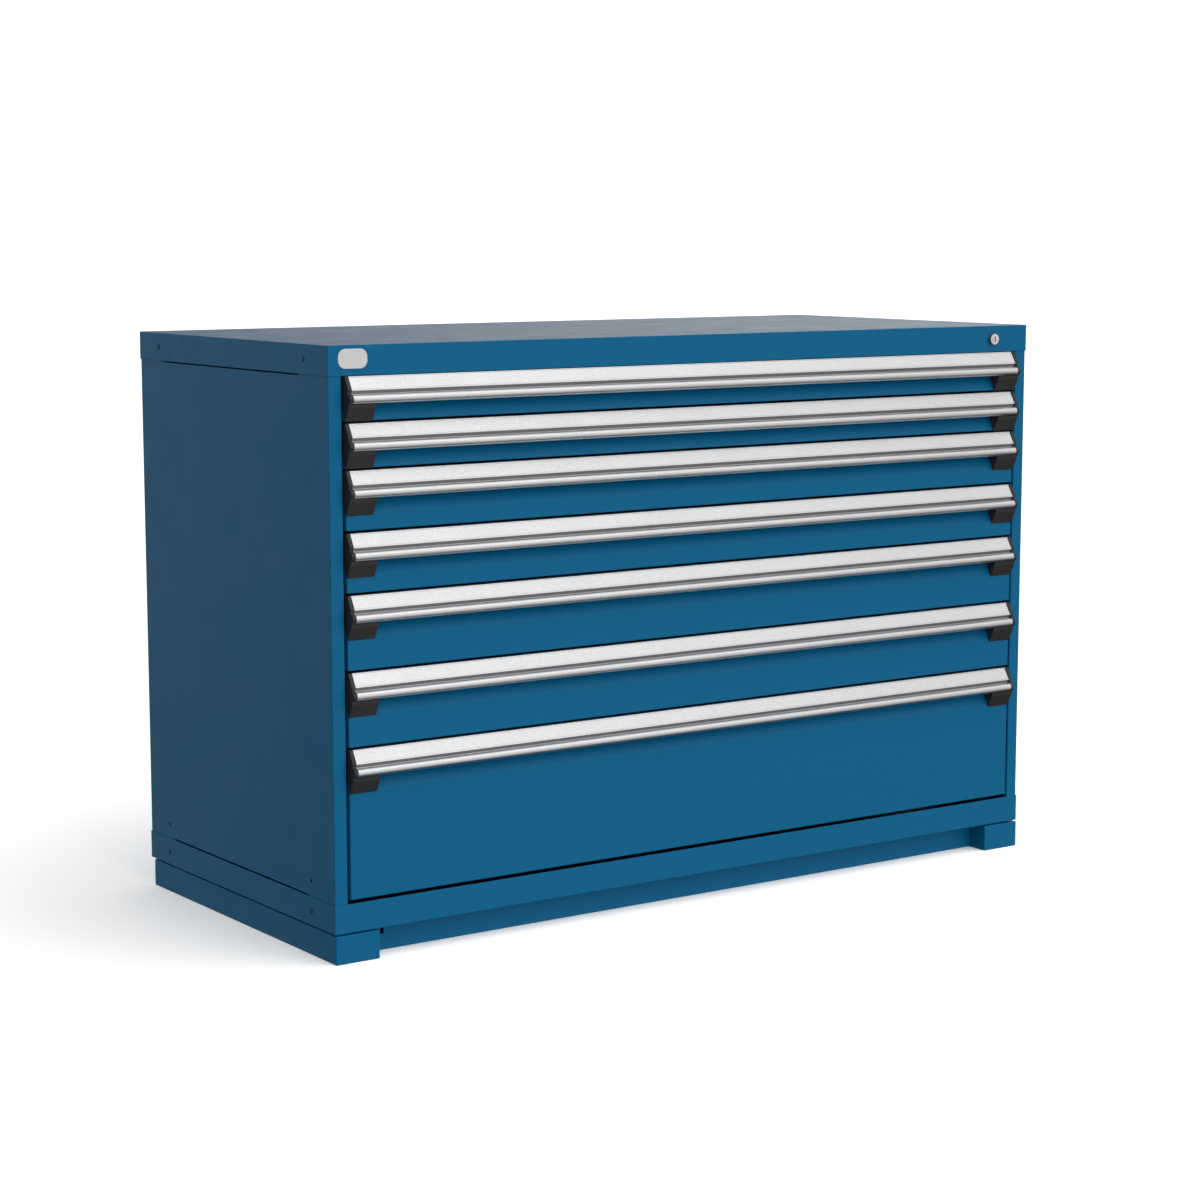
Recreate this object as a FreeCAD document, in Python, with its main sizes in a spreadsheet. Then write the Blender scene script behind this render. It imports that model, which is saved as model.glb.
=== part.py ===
import FreeCAD, Part

import math
import os

import Sketcher

# Modular drawer cabinet, 60 x 27 x 40 inches, seven full-width drawers.
# Millimetres. X to the right, Y to the rear, Z up. The origin is on the floor,
# at the middle of the overall footprint, which includes the handles.

Vector = FreeCAD.Vector
doc = FreeCAD.newDocument("modular_drawer_cabinet")

# ---------------------------------------------------------------- dimensions

SIZES = [
    # overall
    ("housing_width", 1524.0, "housing width over the top panel, 60 in"),
    ("housing_depth", 685.8, "housing depth over the top panel, 27 in"),
    ("housing_height", 965.2, "housing height without the base, 38 in"),
    ("base_height", 50.8, "base height, 2 in"),
    ("handle_projection", 18.7, "how far the handles stand in front of the housing"),
    # sheet metal
    ("sheet", 1.2, "sheet thickness of housing and drawers"),
    ("lap", 0.1, "gap between lapped sheets"),
    ("lip_height", 49.1, "height of the top panel's lips"),
    ("lower_lip_height", 49.3, "height of the bottom panel's lips"),
    ("edge_round", 1.6, "outside radius of folded edges"),
    ("post_width", 25.6, "width of the front posts, from the outside of the panels"),
    ("post_return", 10.4, "depth of the folded inner edge of a front post"),
    ("rear_flange", 27.0, "width of the side panels' rear flanges"),
    ("side_notch", 2.4, "height of the gap under and over the side panels' middle"),
    ("side_notch_front", 90.0, "where the gap starts, from the front"),
    ("side_notch_rear", 600.0, "where the gap ends, from the front"),
    # drawer pitches, top to bottom
    ("opening_sill", 50.8, "lower end of the drawer opening above the housing's underside"),
    ("pitch_1", 76.2, "3 in"),
    ("pitch_2", 76.2, "3 in"),
    ("pitch_3", 101.6, "4 in"),
    ("pitch_4", 101.6, "4 in"),
    ("pitch_5", 127.0, "5 in"),
    ("pitch_6", 127.0, "5 in"),
    ("pitch_7", 254.0, "10 in"),
    # drawer fronts
    ("front_width", 1462.0, "width of a drawer front"),
    ("front_rise", 5.0, "lower edge of a front above its pitch line"),
    ("front_rise_last", 4.3, "the same on the lowest drawer"),
    ("front_face", 0.0, "front faces behind the panel lips' plane"),
    ("front_depth", 23.9, "depth of the fronts' folded edges"),
    ("front_side_depth", 15.0, "depth of the fronts' folded side edges"),
    ("recess_back", 13.0, "finger recess: its back behind the lips' plane"),
    ("recess_top", 44.4, "finger recess: upper end of the slant below the handle's top"),
    ("recess_bend", 71.9, "finger recess: bend line below the handle's top"),
    ("front_edge_round", 1.0, "rounding of the fronts' vertical edges"),
    # handle section, measured down from the handle's top
    ("handle_rise", 1.0, "handle's top above the drawer's upper pitch line"),
    ("handle_top_out", -1.4, "top edge in front of the lips' plane"),
    ("slope_out", 11.8, "lower end of the sloped face in front of the lips' plane"),
    ("slope_drop", 22.7, "height of the sloped face"),
    ("groove_deep", 3.5, "depth of the groove under the sloped face"),
    ("groove_high", 6.3, "height of the groove"),
    ("nose_radius", 7.6, "outside radius of the half-round nose"),
    ("nose_centre_out", 11.1, "centre of the nose in front of the lips' plane"),
    ("nose_centre_drop", 36.8, "centre of the nose below the handle's top"),
    ("handle_wall", 2.4, "wall of the handle profile"),
    ("strip_edge", 2.0, "bright edge above and below the label strip"),
    ("strip_deep", 1.1, "how deep the label strip's seat is"),
    ("strip_thick", 0.9, "label strip thickness, measured along the depth"),
    ("strip_end", 0.7, "the strip stops this far inside the end caps"),
    # end caps
    ("cap_width", 50.8, "width of an end cap's lower block"),
    ("cap_plate", 6.9, "thickness of an end cap's outer plate"),
    ("cap_rim_top", 2.0, "how far the plate's rim stands above the sloped face, at its top"),
    ("cap_rim_low", 0.8, "the same at the sloped face's lower end"),
    ("cap_proud", 0.5, "how far the cap overhangs the front's end"),
    ("cap_drop", 72.9, "height of an end cap"),
    # drawer body, inside 54 x 24 in
    ("tray_width", 1371.6, "inside width"),
    ("tray_depth", 609.6, "inside depth"),
    ("tray_front", 24.0, "front of the inner front wall behind the lips' plane"),
    ("tray_rise", 10.0, "underside above the lower pitch line"),
    ("tray_clear", 8.0, "upper edge below the upper pitch line"),
    ("tray_flange", 9.0, "folded upper edge of the side walls"),
    ("tray_front_width", 1444.0, "width of the inner front wall"),
    ("rib_high", 5.0, "depth of the ribs under the bottom"),
    ("rib_wide", 46.0, "width of the ribs"),
    ("weld_gap", 0.08, "gap between the welded sheets of a drawer body"),
    # drawer slides, measured outwards from the middle of the cabinet
    ("rail_rise", 24.0, "slide centre above the lower pitch line"),
    ("rail_half", 10.8, "half the height of the slide channels"),
    ("rail_sheet", 1.5, "flange thickness of the slide channels"),
    ("rail_web", 2.0, "web thickness of the slide channels"),
    ("drawer_rail_reach", 16.6, "width of the drawer rail"),
    ("drawer_rail_length", 614.0, "length of the drawer rail"),
    ("fixed_rail_out", 728.0, "outer face of the fixed rail"),
    ("fixed_rail_reach", 15.0, "width of the fixed rail"),
    ("fixed_rail_front", 28.0, "front end of the fixed rail"),
    ("fixed_rail_length", 632.0, "length of the fixed rail"),
    ("carriage_in", 707.0, "inner face of the carriage bar"),
    ("carriage_bar", 3.0, "thickness of the carriage bar"),
    ("carriage_high", 16.0, "height of the carriage bar"),
    ("carriage_front", 150.0, "front end of the carriage bar"),
    ("carriage_length", 380.0, "length of the carriage bar"),
    ("roller_radius", 9.0, "roller radius"),
    ("roller_wide", 9.0, "roller width"),
    ("pin_radius", 3.0, "roller pin radius"),
    ("pin_play", 0.05, "running clearance of the rollers on their pins"),
    ("roller_gap", 0.9, "distance between roller and bar"),
    ("pin_head_radius", 4.6, "pin head radius"),
    ("pin_head_thick", 0.8, "pin head thickness"),
    ("inner_roller_a", 165.0, "front inner roller"),
    ("inner_roller_b", 320.0, "rear inner roller"),
    ("outer_roller_a", 352.0, "front outer roller"),
    ("outer_roller_b", 515.0, "rear outer roller"),
    # uprights
    ("upright_near", 81.0, "middle of the front uprights behind the lips' plane"),
    ("upright_far", 609.3, "middle of the rear uprights"),
    ("upright_width", 40.0, "width of an upright"),
    ("upright_in", 728.2, "inner face of an upright"),
    ("upright_sheet", 2.0, "upright thickness"),
    ("upright_lip", 14.0, "inner lips of an upright"),
    ("slot_pitch", 25.4, "pitch of the slots"),
    ("slot_high", 13.0, "slot height"),
    ("slot_wide", 3.2, "slot width"),
    ("hook_thick", 2.4, "thickness of the rails' hooks"),
    ("stiffener_mid", 343.0, "middle of the mid stiffeners"),
    ("stiffener_width", 72.0, "width of the mid stiffeners"),
    ("stiffener_deep", 14.0, "depth of the mid stiffeners"),
    # screws and holes
    ("lip_screw_drop", 24.6, "side screws below the top face"),
    ("lip_screw_rise", 24.3, "side screws above the underside"),
    ("screw_radius", 2.5, "side screw shank radius"),
    ("screw_hole", 2.7, "side screw hole radius"),
    ("screw_head", 4.2, "side screw head radius"),
    ("screw_proud", 1.1, "side screw head height"),
    ("gang_hole", 3.5, "radius of the holes for joining cabinets"),
    ("gang_rise", 75.3, "height of those holes above the underside"),
    ("leg_bolt", 4.0, "leg bolt radius"),
    ("leg_bolt_hole", 4.3, "leg bolt hole radius"),
    ("leg_bolt_head", 6.5, "leg bolt head radius"),
    # base
    ("leg_width", 82.5, "width of a leg"),
    ("leg_inset", 1.0, "leg behind the housing's outer side"),
    ("leg_front", -1.5, "front of the legs, measured back from the lips' plane"),
    ("leg_rear", 673.6, "rear of the legs behind the lips' plane"),
    ("leg_wall", 2.5, "wall of a leg"),
    ("leg_gap", 2.5, "shadow gap between legs and housing"),
    ("leg_pad_width", 60.0, "width of the pad in the shadow gap"),
    ("cover_front", 41.5, "front cover plate behind the lips' plane"),
    ("cover_rear", 632.0, "outer face of the rear cover plate"),
    ("cover_flange", 16.0, "folded edges of the cover plates"),
    ("cover_lift", 0.6, "cover plates above the floor"),
    # lock
    ("lock_x", 675.0, "lock right of the middle"),
    ("lock_drop", 25.3, "lock below the top face"),
    ("lock_flange", 11.1, "radius of the lock's collar"),
    ("lock_proud", 6.0, "how far the lock stands out"),
    ("lock_body", 9.4, "radius of the lock's body"),
    ("lock_hole", 9.6, "radius of the hole for it"),
    ("plug_radius", 6.3, "plug radius"),
    ("plug_play", 0.05, "running clearance of the plug"),
    ("key_wide", 1.7, "keyway width"),
    ("key_high", 8.2, "keyway height"),
    ("key_deep", 9.0, "keyway depth"),
    ("cam_throw", 8.5, "eccentric pin from the plug's axis"),
    ("cam_pin", 2.5, "eccentric pin radius"),
    ("bar_travel", 12.0, "travel of the lock bar"),
    ("bar_x", 742.0, "inner face of the lock bar"),
    ("bar_thick", 3.0, "lock bar thickness"),
    ("bar_front", 22.4, "front edge of the lock bar"),
    ("bar_depth", 12.0, "width of the lock bar"),
    ("tab_in", 726.0, "inner end of the lock tabs"),
    ("tab_front", 24.6, "front face of the lock tabs"),
    ("tab_thick", 4.0, "lock tab thickness"),
    ("tab_rise", 38.5, "lock tabs above the pitch line, unlocked"),
    ("tab_high", 8.0, "lock tab height"),
    ("catch_rise", 49.5, "lock catch above the pitch line"),
    ("catch_high", 12.0, "lock catch height"),
    ("catch_front", 29.5, "front of the lock catch"),
    ("catch_thick", 2.5, "lock catch thickness"),
    ("catch_in", 687.5, "inner end of the lock catch"),
    ("catch_out", 733.0, "outer end of the lock catch"),
    ("guide_play", 0.4, "play of the lock bar in its guides"),
    # name plate
    ("plate_x", 716.0, "name plate's middle left of the cabinet's middle"),
    ("plate_drop", 22.0, "name plate's middle below the top face"),
    ("plate_width", 54.0, "name plate width"),
    ("plate_high", 32.0, "name plate height"),
    ("plate_thick", 1.2, "name plate thickness"),
]

sheet = doc.addObject("Spreadsheet::Sheet", "dims")
for row, (alias, value, note) in enumerate(SIZES, 1):
    sheet.set("A%d" % row, alias)
    sheet.set("B%d" % row, repr(value))
    sheet.setAlias("B%d" % row, alias)
    sheet.set("C%d" % row, note)
doc.recompute()


class Size:
    """A length: its value in millimetres and the expression that gives it from the sheet."""

    def __init__(self, value, text):
        self.value, self.text = float(value), text

    def __add__(self, other):
        other = size(other)
        return Size(self.value + other.value, "(%s + %s)" % (self.text, other.text))

    def __sub__(self, other):
        other = size(other)
        return Size(self.value - other.value, "(%s - %s)" % (self.text, other.text))

    def __mul__(self, factor):
        return Size(self.value * factor, "(%s * %s)" % (self.text, repr(float(factor))))

    def __truediv__(self, factor):
        return Size(self.value / factor, "(%s / %s)" % (self.text, repr(float(factor))))

    def __neg__(self):
        return Size(-self.value, "(0 - %s)" % self.text)

    __radd__ = __add__
    __rmul__ = __mul__

    def __rsub__(self, other):
        return size(other) - self


def size(x):
    return x if isinstance(x, Size) else Size(x, "(%s)" % repr(float(x)))


class Sheet:
    def __getattr__(self, alias):
        if alias not in VALUES:
            raise AttributeError(alias)
        return Size(VALUES[alias], "dims." + alias)


VALUES = {alias: value for alias, value, note in SIZES}
D = Sheet()

# planes of the housing in the part's frame
LIPS = (D.handle_projection - D.housing_depth) / 2  # front plane of the lips
UNDER = D.base_height  # underside of the housing
TOP = D.base_height + D.housing_height
HALF = D.housing_width / 2
OPEN_TOP = UNDER + D.opening_sill + D.pitch_1 + D.pitch_2 + D.pitch_3 + D.pitch_4 + D.pitch_5 + D.pitch_6 + D.pitch_7
SIDE = HALF - D.sheet - D.lap  # outer face of the side panels
REAR = LIPS + D.housing_depth


def back(distance):
    """A Y place, this far behind the front plane of the lips."""
    return LIPS + distance


PITCHES = [D.pitch_1, D.pitch_2, D.pitch_3, D.pitch_4, D.pitch_5, D.pitch_6, D.pitch_7]
LINES = [OPEN_TOP]  # pitch lines from the top down
for pitch in PITCHES:
    LINES.append(LINES[-1] - pitch)

# ---------------------------------------------------------------- helpers


def bind(obj, prop, value):
    """Sets a property from the sheet."""
    value = size(value)
    obj.setExpression(prop, value.text)


def new_body(name):
    body = doc.addObject("PartDesign::Body", name)
    body.Label = name
    return body


def origin_plane(body, role):
    return [f for f in body.Origin.OriginFeatures if f.Role == role][0]


def new_sketch(body, role, offset=None):
    """A sketch on one of the body's own origin planes, moved along the plane's normal."""
    sketch = body.newObject("Sketcher::SketchObject", body.Name + "_sketch")
    sketch.AttachmentSupport = [(origin_plane(body, role), "")]
    sketch.MapMode = "FlatFace"
    if offset is not None:
        # the XZ plane's normal points to -Y
        offset = -size(offset) if role == "XZ_Plane" else size(offset)
        sketch.AttachmentOffset = FreeCAD.Placement(Vector(0, 0, offset.value), FreeCAD.Rotation())
        bind(sketch, "AttachmentOffset.Base.z", offset)
    return sketch


def fix_point(sketch, geo, pos, x, y):
    for kind, value in (("DistanceX", size(x)), ("DistanceY", size(y))):
        n = sketch.addConstraint(Sketcher.Constraint(kind, -1, 1, geo, pos, value.value))
        if "dims." in value.text:
            bind(sketch, "Constraints[%d]" % n, value)


def arc_between(p, q, radius, turn):
    """A circle arc from p to q, turn +1 anticlockwise and -1 clockwise, the shorter way."""
    (px, py), (qx, qy) = p, q
    dx, dy = qx - px, qy - py
    chord = math.hypot(dx, dy)
    rise = math.sqrt(max(radius * radius - chord * chord / 4.0, 0.0))
    cx = (px + qx) / 2.0 - turn * rise * dy / chord
    cy = (py + qy) / 2.0 + turn * rise * dx / chord
    a, b = math.atan2(py - cy, px - cx), math.atan2(qy - cy, qx - cx)
    circle = Part.Circle(Vector(cx, cy, 0), Vector(0, 0, 1), radius)
    if turn > 0:
        return Part.ArcOfCircle(circle, a, b if b > a else b + 2 * math.pi), 1, 2
    return Part.ArcOfCircle(circle, b, a if a > b else a + 2 * math.pi), 2, 1


def outline(sketch, points):
    """A closed outline. A point is (x, y), or (x, y, radius, turn) where the edge to it is an arc."""
    count = len(points)
    ends = []
    for i, point in enumerate(points):
        before = points[i - 1]
        p = (size(before[0]).value, size(before[1]).value)
        q = (size(point[0]).value, size(point[1]).value)
        if len(point) == 4:
            shape, first, last = arc_between(p, q, size(point[2]).value, point[3])
        else:
            shape, first, last = Part.LineSegment(Vector(p[0], p[1], 0), Vector(q[0], q[1], 0)), 1, 2
        ends.append((sketch.addGeometry(shape, False), first, last))
    for i in range(count):
        geo, first, last = ends[i]
        after = ends[(i + 1) % count]
        sketch.addConstraint(Sketcher.Constraint("Coincident", geo, last, after[0], after[1]))
        fix_point(sketch, geo, last, points[i][0], points[i][1])
        if len(points[i]) == 4:
            radius = size(points[i][2])
            n = sketch.addConstraint(Sketcher.Constraint("Radius", geo, radius.value))
            if "dims." in radius.text:
                bind(sketch, "Constraints[%d]" % n, radius)
    return sketch


def circle(sketch, x, y, radius):
    x, y, radius = size(x), size(y), size(radius)
    geo = sketch.addGeometry(Part.Circle(Vector(x.value, y.value, 0), Vector(0, 0, 1), radius.value), False)
    fix_point(sketch, geo, 3, x, y)
    n = sketch.addConstraint(Sketcher.Constraint("Radius", geo, radius.value))
    if "dims." in radius.text:
        bind(sketch, "Constraints[%d]" % n, radius)
    return sketch


def box_outline(x0, y0, x1, y1):
    return [(x0, y0), (x1, y0), (x1, y1), (x0, y1)]


def rounded_box(x0, y0, x1, y1, radius):
    """A rectangle with four rounded corners."""
    r = size(radius)
    x0, y0, x1, y1 = size(x0), size(y0), size(x1), size(y1)
    return [
        (x0 + r, y0, r, 1), (x1 - r, y0), (x1, y0 + r, r, 1), (x1, y1 - r), (x1 - r, y1, r, 1),
        (x0 + r, y1), (x0, y1 - r, r, 1), (x0, y0 + r),
    ]


def pad(body, sketch, length, middle=False):
    """A pad towards +X, +Y or +Z, or to both sides of the sketch."""
    feature = body.newObject("PartDesign::Pad", body.Name + "_pad")
    feature.Profile = sketch
    if middle:
        feature.SideType = "Symmetric"
    elif origin_of(sketch) == "XZ_Plane":
        feature.Reversed = True
    feature.Length = size(length).value
    bind(feature, "Length", length)
    body.Tip = feature
    sketch.Visibility = False
    return feature


def origin_of(sketch):
    return sketch.AttachmentSupport[0][0].Role


def pocket(body, sketch, length=None, middle=False, forwards=False):
    """A pocket through everything, or of one depth. It cuts towards -X, -Y or -Z unless forwards is set."""
    feature = body.newObject("PartDesign::Pocket", body.Name + "_pocket")
    feature.Profile = sketch
    if middle:
        feature.SideType = "Symmetric"
    if length is None:
        feature.Type = "ThroughAll"
    else:
        feature.Length = size(length).value
        bind(feature, "Length", length)
    if not middle:
        # a pocket cuts against the sketch's normal, which is -Y on the XZ plane
        feature.Reversed = forwards != (origin_of(sketch) == "XZ_Plane")
    body.Tip = feature
    sketch.Visibility = False
    return feature


def fillet(body, feature, edges, radius):
    doc.recompute()
    names = ["Edge%d" % (i + 1) for i, e in enumerate(feature.Shape.Edges) if edges(e)]
    if not names:
        raise RuntimeError("no edges to round on " + body.Name)
    rounded = body.newObject("PartDesign::Fillet", body.Name + "_fillet")
    rounded.Base = (feature, names)
    rounded.Radius = size(radius).value
    bind(rounded, "Radius", radius)
    body.Tip = rounded
    return rounded


def group(name, members, x=None, y=None, z=None):
    """Several solids in one sub-part, or a copy of one at another place."""
    compound = doc.addObject("Part::Compound", name)
    compound.Label = name
    compound.Links = members
    for axis, value in (("x", x), ("y", y), ("z", z)):
        if value is not None:
            bind(compound, "Placement.Base." + axis, value)
    return compound


def mirrored(name, source):
    """The same piece on the other side of the cabinet."""
    mirror = doc.addObject("Part::Mirroring", name)
    mirror.Label = name
    mirror.Source = source
    mirror.Base = Vector(0, 0, 0)
    mirror.Normal = Vector(1, 0, 0)
    return mirror


def near(a, b, tolerance=0.01):
    return abs(a - b) < tolerance


def bar_box(name, x0, x1, y0, y1, z0, z1):
    """A plain rectangular bar between six planes."""
    box = doc.addObject("Part::Box", name)
    box.Label = name
    for prop, value in (
        ("Length", size(x1) - size(x0)), ("Width", size(y1) - size(y0)), ("Height", size(z1) - size(z0)),
        ("Placement.Base.x", x0), ("Placement.Base.y", y0), ("Placement.Base.z", z0),
    ):
        bind(box, prop, value)
    return box


NODES = []  # the sub-parts, each written to its own file


def node(obj, name):
    obj.Label = name
    NODES.append((name, obj))
    return obj


# ---------------------------------------------------------------- housing


def pan(name, low, high, open_down):
    """A folded sheet with a lip all round: the top panel opens down, the bottom panel opens up."""
    body = new_body(name)
    r = D.edge_round
    sketch = new_sketch(body, "XY_Plane", low)
    outline(sketch, rounded_box(-HALF, LIPS, HALF, REAR, r))
    block = pad(body, sketch, size(high) - size(low))
    face_z = (size(high) if open_down else size(low)).value
    rounded = fillet(body, block, lambda e: all(near(v.Z, face_z) for v in e.Vertexes), D.edge_round - 0.2)
    inner = new_sketch(body, "XY_Plane", low if open_down else high)
    outline(inner, box_outline(-HALF + D.sheet, LIPS + D.sheet, HALF - D.sheet, REAR - D.sheet))
    pocket(body, inner, size(high) - size(low) - D.sheet, forwards=open_down)
    doc.recompute()
    holes = new_sketch(body, "YZ_Plane")
    z = (TOP - D.lip_screw_drop) if open_down else (UNDER + D.lip_screw_rise)
    for place in (D.upright_near, D.upright_far):
        circle(holes, back(place), z, D.screw_hole)
    pocket(body, holes, HALF * 2.2, middle=True)
    return body


top_panel = pan("top_panel", TOP - D.lip_height, TOP, True)
lock_cut = new_sketch(top_panel, "XZ_Plane", LIPS + 5)
circle(lock_cut, D.lock_x, TOP - D.lock_drop, D.lock_hole)
pocket(top_panel, lock_cut, 12)
node(top_panel, "top_panel")

bottom_panel = pan("bottom_panel", UNDER, UNDER + D.lower_lip_height, False)
LEG_BOLTS_Y = [back(45.0), back(250.0), back(430.0), back(642.0)]
LEG_MIDDLE = HALF - D.leg_inset - D.leg_width / 2
leg_holes = new_sketch(bottom_panel, "XY_Plane", UNDER + 10)
for y in LEG_BOLTS_Y:
    for x in (-LEG_MIDDLE, LEG_MIDDLE):
        circle(leg_holes, x, y, D.leg_bolt_hole)
pocket(bottom_panel, leg_holes, 20)
node(bottom_panel, "bottom_panel")

REAR_SCREWS_Z = [UNDER + 70.0, UNDER + 275.0, UNDER + 482.0, UNDER + 689.0, UNDER + 895.0]
REAR_SCREW_X = SIDE - D.rear_flange / 2
POST_IN = HALF - D.post_width  # inner face of a front post


def side_panel(name):
    """Right side panel: one folded sheet with the front post, its inner edge and a rear flange."""
    body = new_body(name)
    t, r = D.sheet, D.edge_round
    front = back(D.sheet + D.lap)
    rear = REAR - D.sheet - D.lap
    i = r - t  # inside radius
    section = [
        (POST_IN, front + D.post_return),
        (POST_IN, front + r),
        (POST_IN + r, front, r, 1),
        (SIDE - r, front),
        (SIDE, front + r, r, 1),
        (SIDE, rear - r),
        (SIDE - r, rear, r, 1),
        (SIDE - D.rear_flange, rear),
        (SIDE - D.rear_flange, rear - t),
        (SIDE - r, rear - t),
        (SIDE - t, rear - r, i, -1),
        (SIDE - t, front + r),
        (SIDE - r, front + t, i, -1),
        (POST_IN + r, front + t),
        (POST_IN + t, front + r, i, -1),
        (POST_IN + t, front + D.post_return),
    ]
    low, high = UNDER + D.sheet + D.lap, TOP - D.sheet - D.lap
    sketch = new_sketch(body, "XY_Plane", low)
    outline(sketch, section)
    pad(body, sketch, high - low)
    doc.recompute()
    # gaps between the lips in the middle of the side, the screw holes and the joining holes
    cuts = new_sketch(body, "YZ_Plane", SIDE - 8)
    y0, y1 = back(D.side_notch_front), back(D.side_notch_rear)
    lip_low, lip_high = TOP - D.lip_height, UNDER + D.lower_lip_height
    outline(cuts, box_outline(y0, lip_low - D.side_notch, y1, lip_low + 9))
    outline(cuts, box_outline(y0, lip_high - 9, y1, lip_high + D.side_notch))
    for place in (D.upright_near, D.upright_far):
        circle(cuts, back(place), TOP - D.lip_screw_drop, D.screw_hole)
        circle(cuts, back(place), UNDER + D.lip_screw_rise, D.screw_hole)
        circle(cuts, back(place), UNDER + D.gang_rise, D.gang_hole)
    pocket(body, cuts, 20, forwards=True)
    doc.recompute()
    screws = new_sketch(body, "XZ_Plane", REAR - 10)
    for z in REAR_SCREWS_Z:
        circle(screws, REAR_SCREW_X, z, D.screw_hole)
    pocket(body, screws, 20, forwards=True)
    return body


right_side = side_panel("right_side_panel")
node(right_side, "right_side_panel")
node(mirrored("left_side_panel", right_side), "left_side_panel")

rear_panel = new_body("rear_panel")
rear_y = REAR - D.sheet * 3 - D.lap * 2
sketch = new_sketch(rear_panel, "XZ_Plane", rear_y)
outline(sketch, rounded_box(-(SIDE - 4), UNDER + D.sheet + 1, SIDE - 4, TOP - D.sheet - 1, 3.0))
pad(rear_panel, sketch, D.sheet)
doc.recompute()
sketch = new_sketch(rear_panel, "XZ_Plane", rear_y - 5)
for z in REAR_SCREWS_Z:
    for x in (-REAR_SCREW_X, REAR_SCREW_X):
        circle(sketch, x, z, D.screw_hole)
pocket(rear_panel, sketch, 20, forwards=True)
node(rear_panel, "rear_panel")

# ---------------------------------------------------------------- uprights


def upright(name):
    """Right front upright: a slotted channel, its web against the side panel."""
    body = new_body(name)
    w, t, lip = D.upright_width / 2, D.upright_sheet, D.upright_lip
    mid, inner, outer = back(D.upright_near), D.upright_in, SIDE - D.sheet - D.lap
    section = [
        (inner, mid - w + lip), (inner, mid - w), (outer, mid - w), (outer, mid + w), (inner, mid + w),
        (inner, mid + w - lip), (inner + t, mid + w - lip), (inner + t, mid + w - t),
        (outer - t, mid + w - t), (outer - t, mid - w + t), (inner + t, mid - w + t), (inner + t, mid - w + lip),
    ]
    low, high = UNDER + D.sheet + D.lap, TOP - D.sheet - D.lap
    sketch = new_sketch(body, "XY_Plane", low)
    outline(sketch, section)
    pad(body, sketch, high - low)
    doc.recompute()
    holes = new_sketch(body, "YZ_Plane", outer - 8)
    circle(holes, mid, TOP - D.lip_screw_drop, D.screw_hole)
    circle(holes, mid, UNDER + D.lip_screw_rise, D.screw_hole)
    circle(holes, mid, UNDER + D.gang_rise, D.gang_hole + 1)
    pocket(body, holes, 20, forwards=True)
    doc.recompute()
    slots = new_sketch(body, "YZ_Plane", inner - 5)
    z = UNDER + D.opening_sill + 6.0
    for side in (-1, 1):
        y = mid + (w - lip / 2) * side
        outline(slots, box_outline(y - D.slot_wide / 2, z, y + D.slot_wide / 2, z + D.slot_high))
    first = pocket(body, slots, 10, forwards=True)
    doc.recompute()
    pattern = body.newObject("PartDesign::LinearPattern", body.Name + "_slots")
    pattern.Originals = [first]
    pattern.Direction = (slots, ["V_Axis"])
    count = int(round((OPEN_TOP - UNDER - D.opening_sill).value / D.slot_pitch.value))
    pattern.Length = (D.slot_pitch * (count - 1)).value
    bind(pattern, "Length", D.slot_pitch * (count - 1))
    pattern.Occurrences = count
    body.Tip = pattern
    doc.recompute()
    return body


def stiffener(name):
    """Right mid stiffener: a shallow hat section against the side panel."""
    body = new_body(name)
    w, t, deep = D.stiffener_width / 2, D.sheet, D.stiffener_deep
    mid, outer = back(D.stiffener_mid), SIDE - D.sheet - D.lap
    section = [
        (outer, mid - w), (outer, mid - w + 18), (outer - deep, mid - w + 24), (outer - deep, mid + w - 24),
        (outer, mid + w - 18), (outer, mid + w), (outer - t, mid + w), (outer - t, mid + w - 17),
        (outer - deep - t, mid + w - 23), (outer - deep - t, mid - w + 23), (outer - t, mid - w + 17), (outer - t, mid - w),
    ]
    sketch = new_sketch(body, "XY_Plane", UNDER + 60)
    outline(sketch, section)
    pad(body, sketch, D.housing_height - 120)
    return body


upright_front = upright("upright_front")
middle_hat = stiffener("mid_stiffener")
right_uprights = group("right_uprights", [
    upright_front,
    group("upright_rear", [upright_front], y=D.upright_far - D.upright_near),
    middle_hat,
])
left_uprights = mirrored("left_uprights", right_uprights)
node(group("uprights", [right_uprights, left_uprights]), "uprights")

# ---------------------------------------------------------------- fixed rails


def channel(name, back_x, reach, open_out, y, length, half, web, flange):
    """A horizontal channel along Y, its middle at height 0. back_x is the outer face of its web."""
    body = new_body(name)
    s = 1 if open_out else -1
    tip, inner = back_x + reach * s, back_x + web * s
    section = [
        (back_x, -half), (tip, -half), (tip, -half + flange), (inner, -half + flange),
        (inner, half - flange), (tip, half - flange), (tip, half), (back_x, half),
    ]
    sketch = new_sketch(body, "XZ_Plane", y)
    outline(sketch, section)
    pad(body, sketch, length)
    return body


fixed_rail = channel("fixed_rail_right", D.fixed_rail_out, D.fixed_rail_reach, False, back(D.fixed_rail_front),
                     D.fixed_rail_length, D.rail_half, D.rail_web, D.rail_sheet)
doc.recompute()
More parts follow.
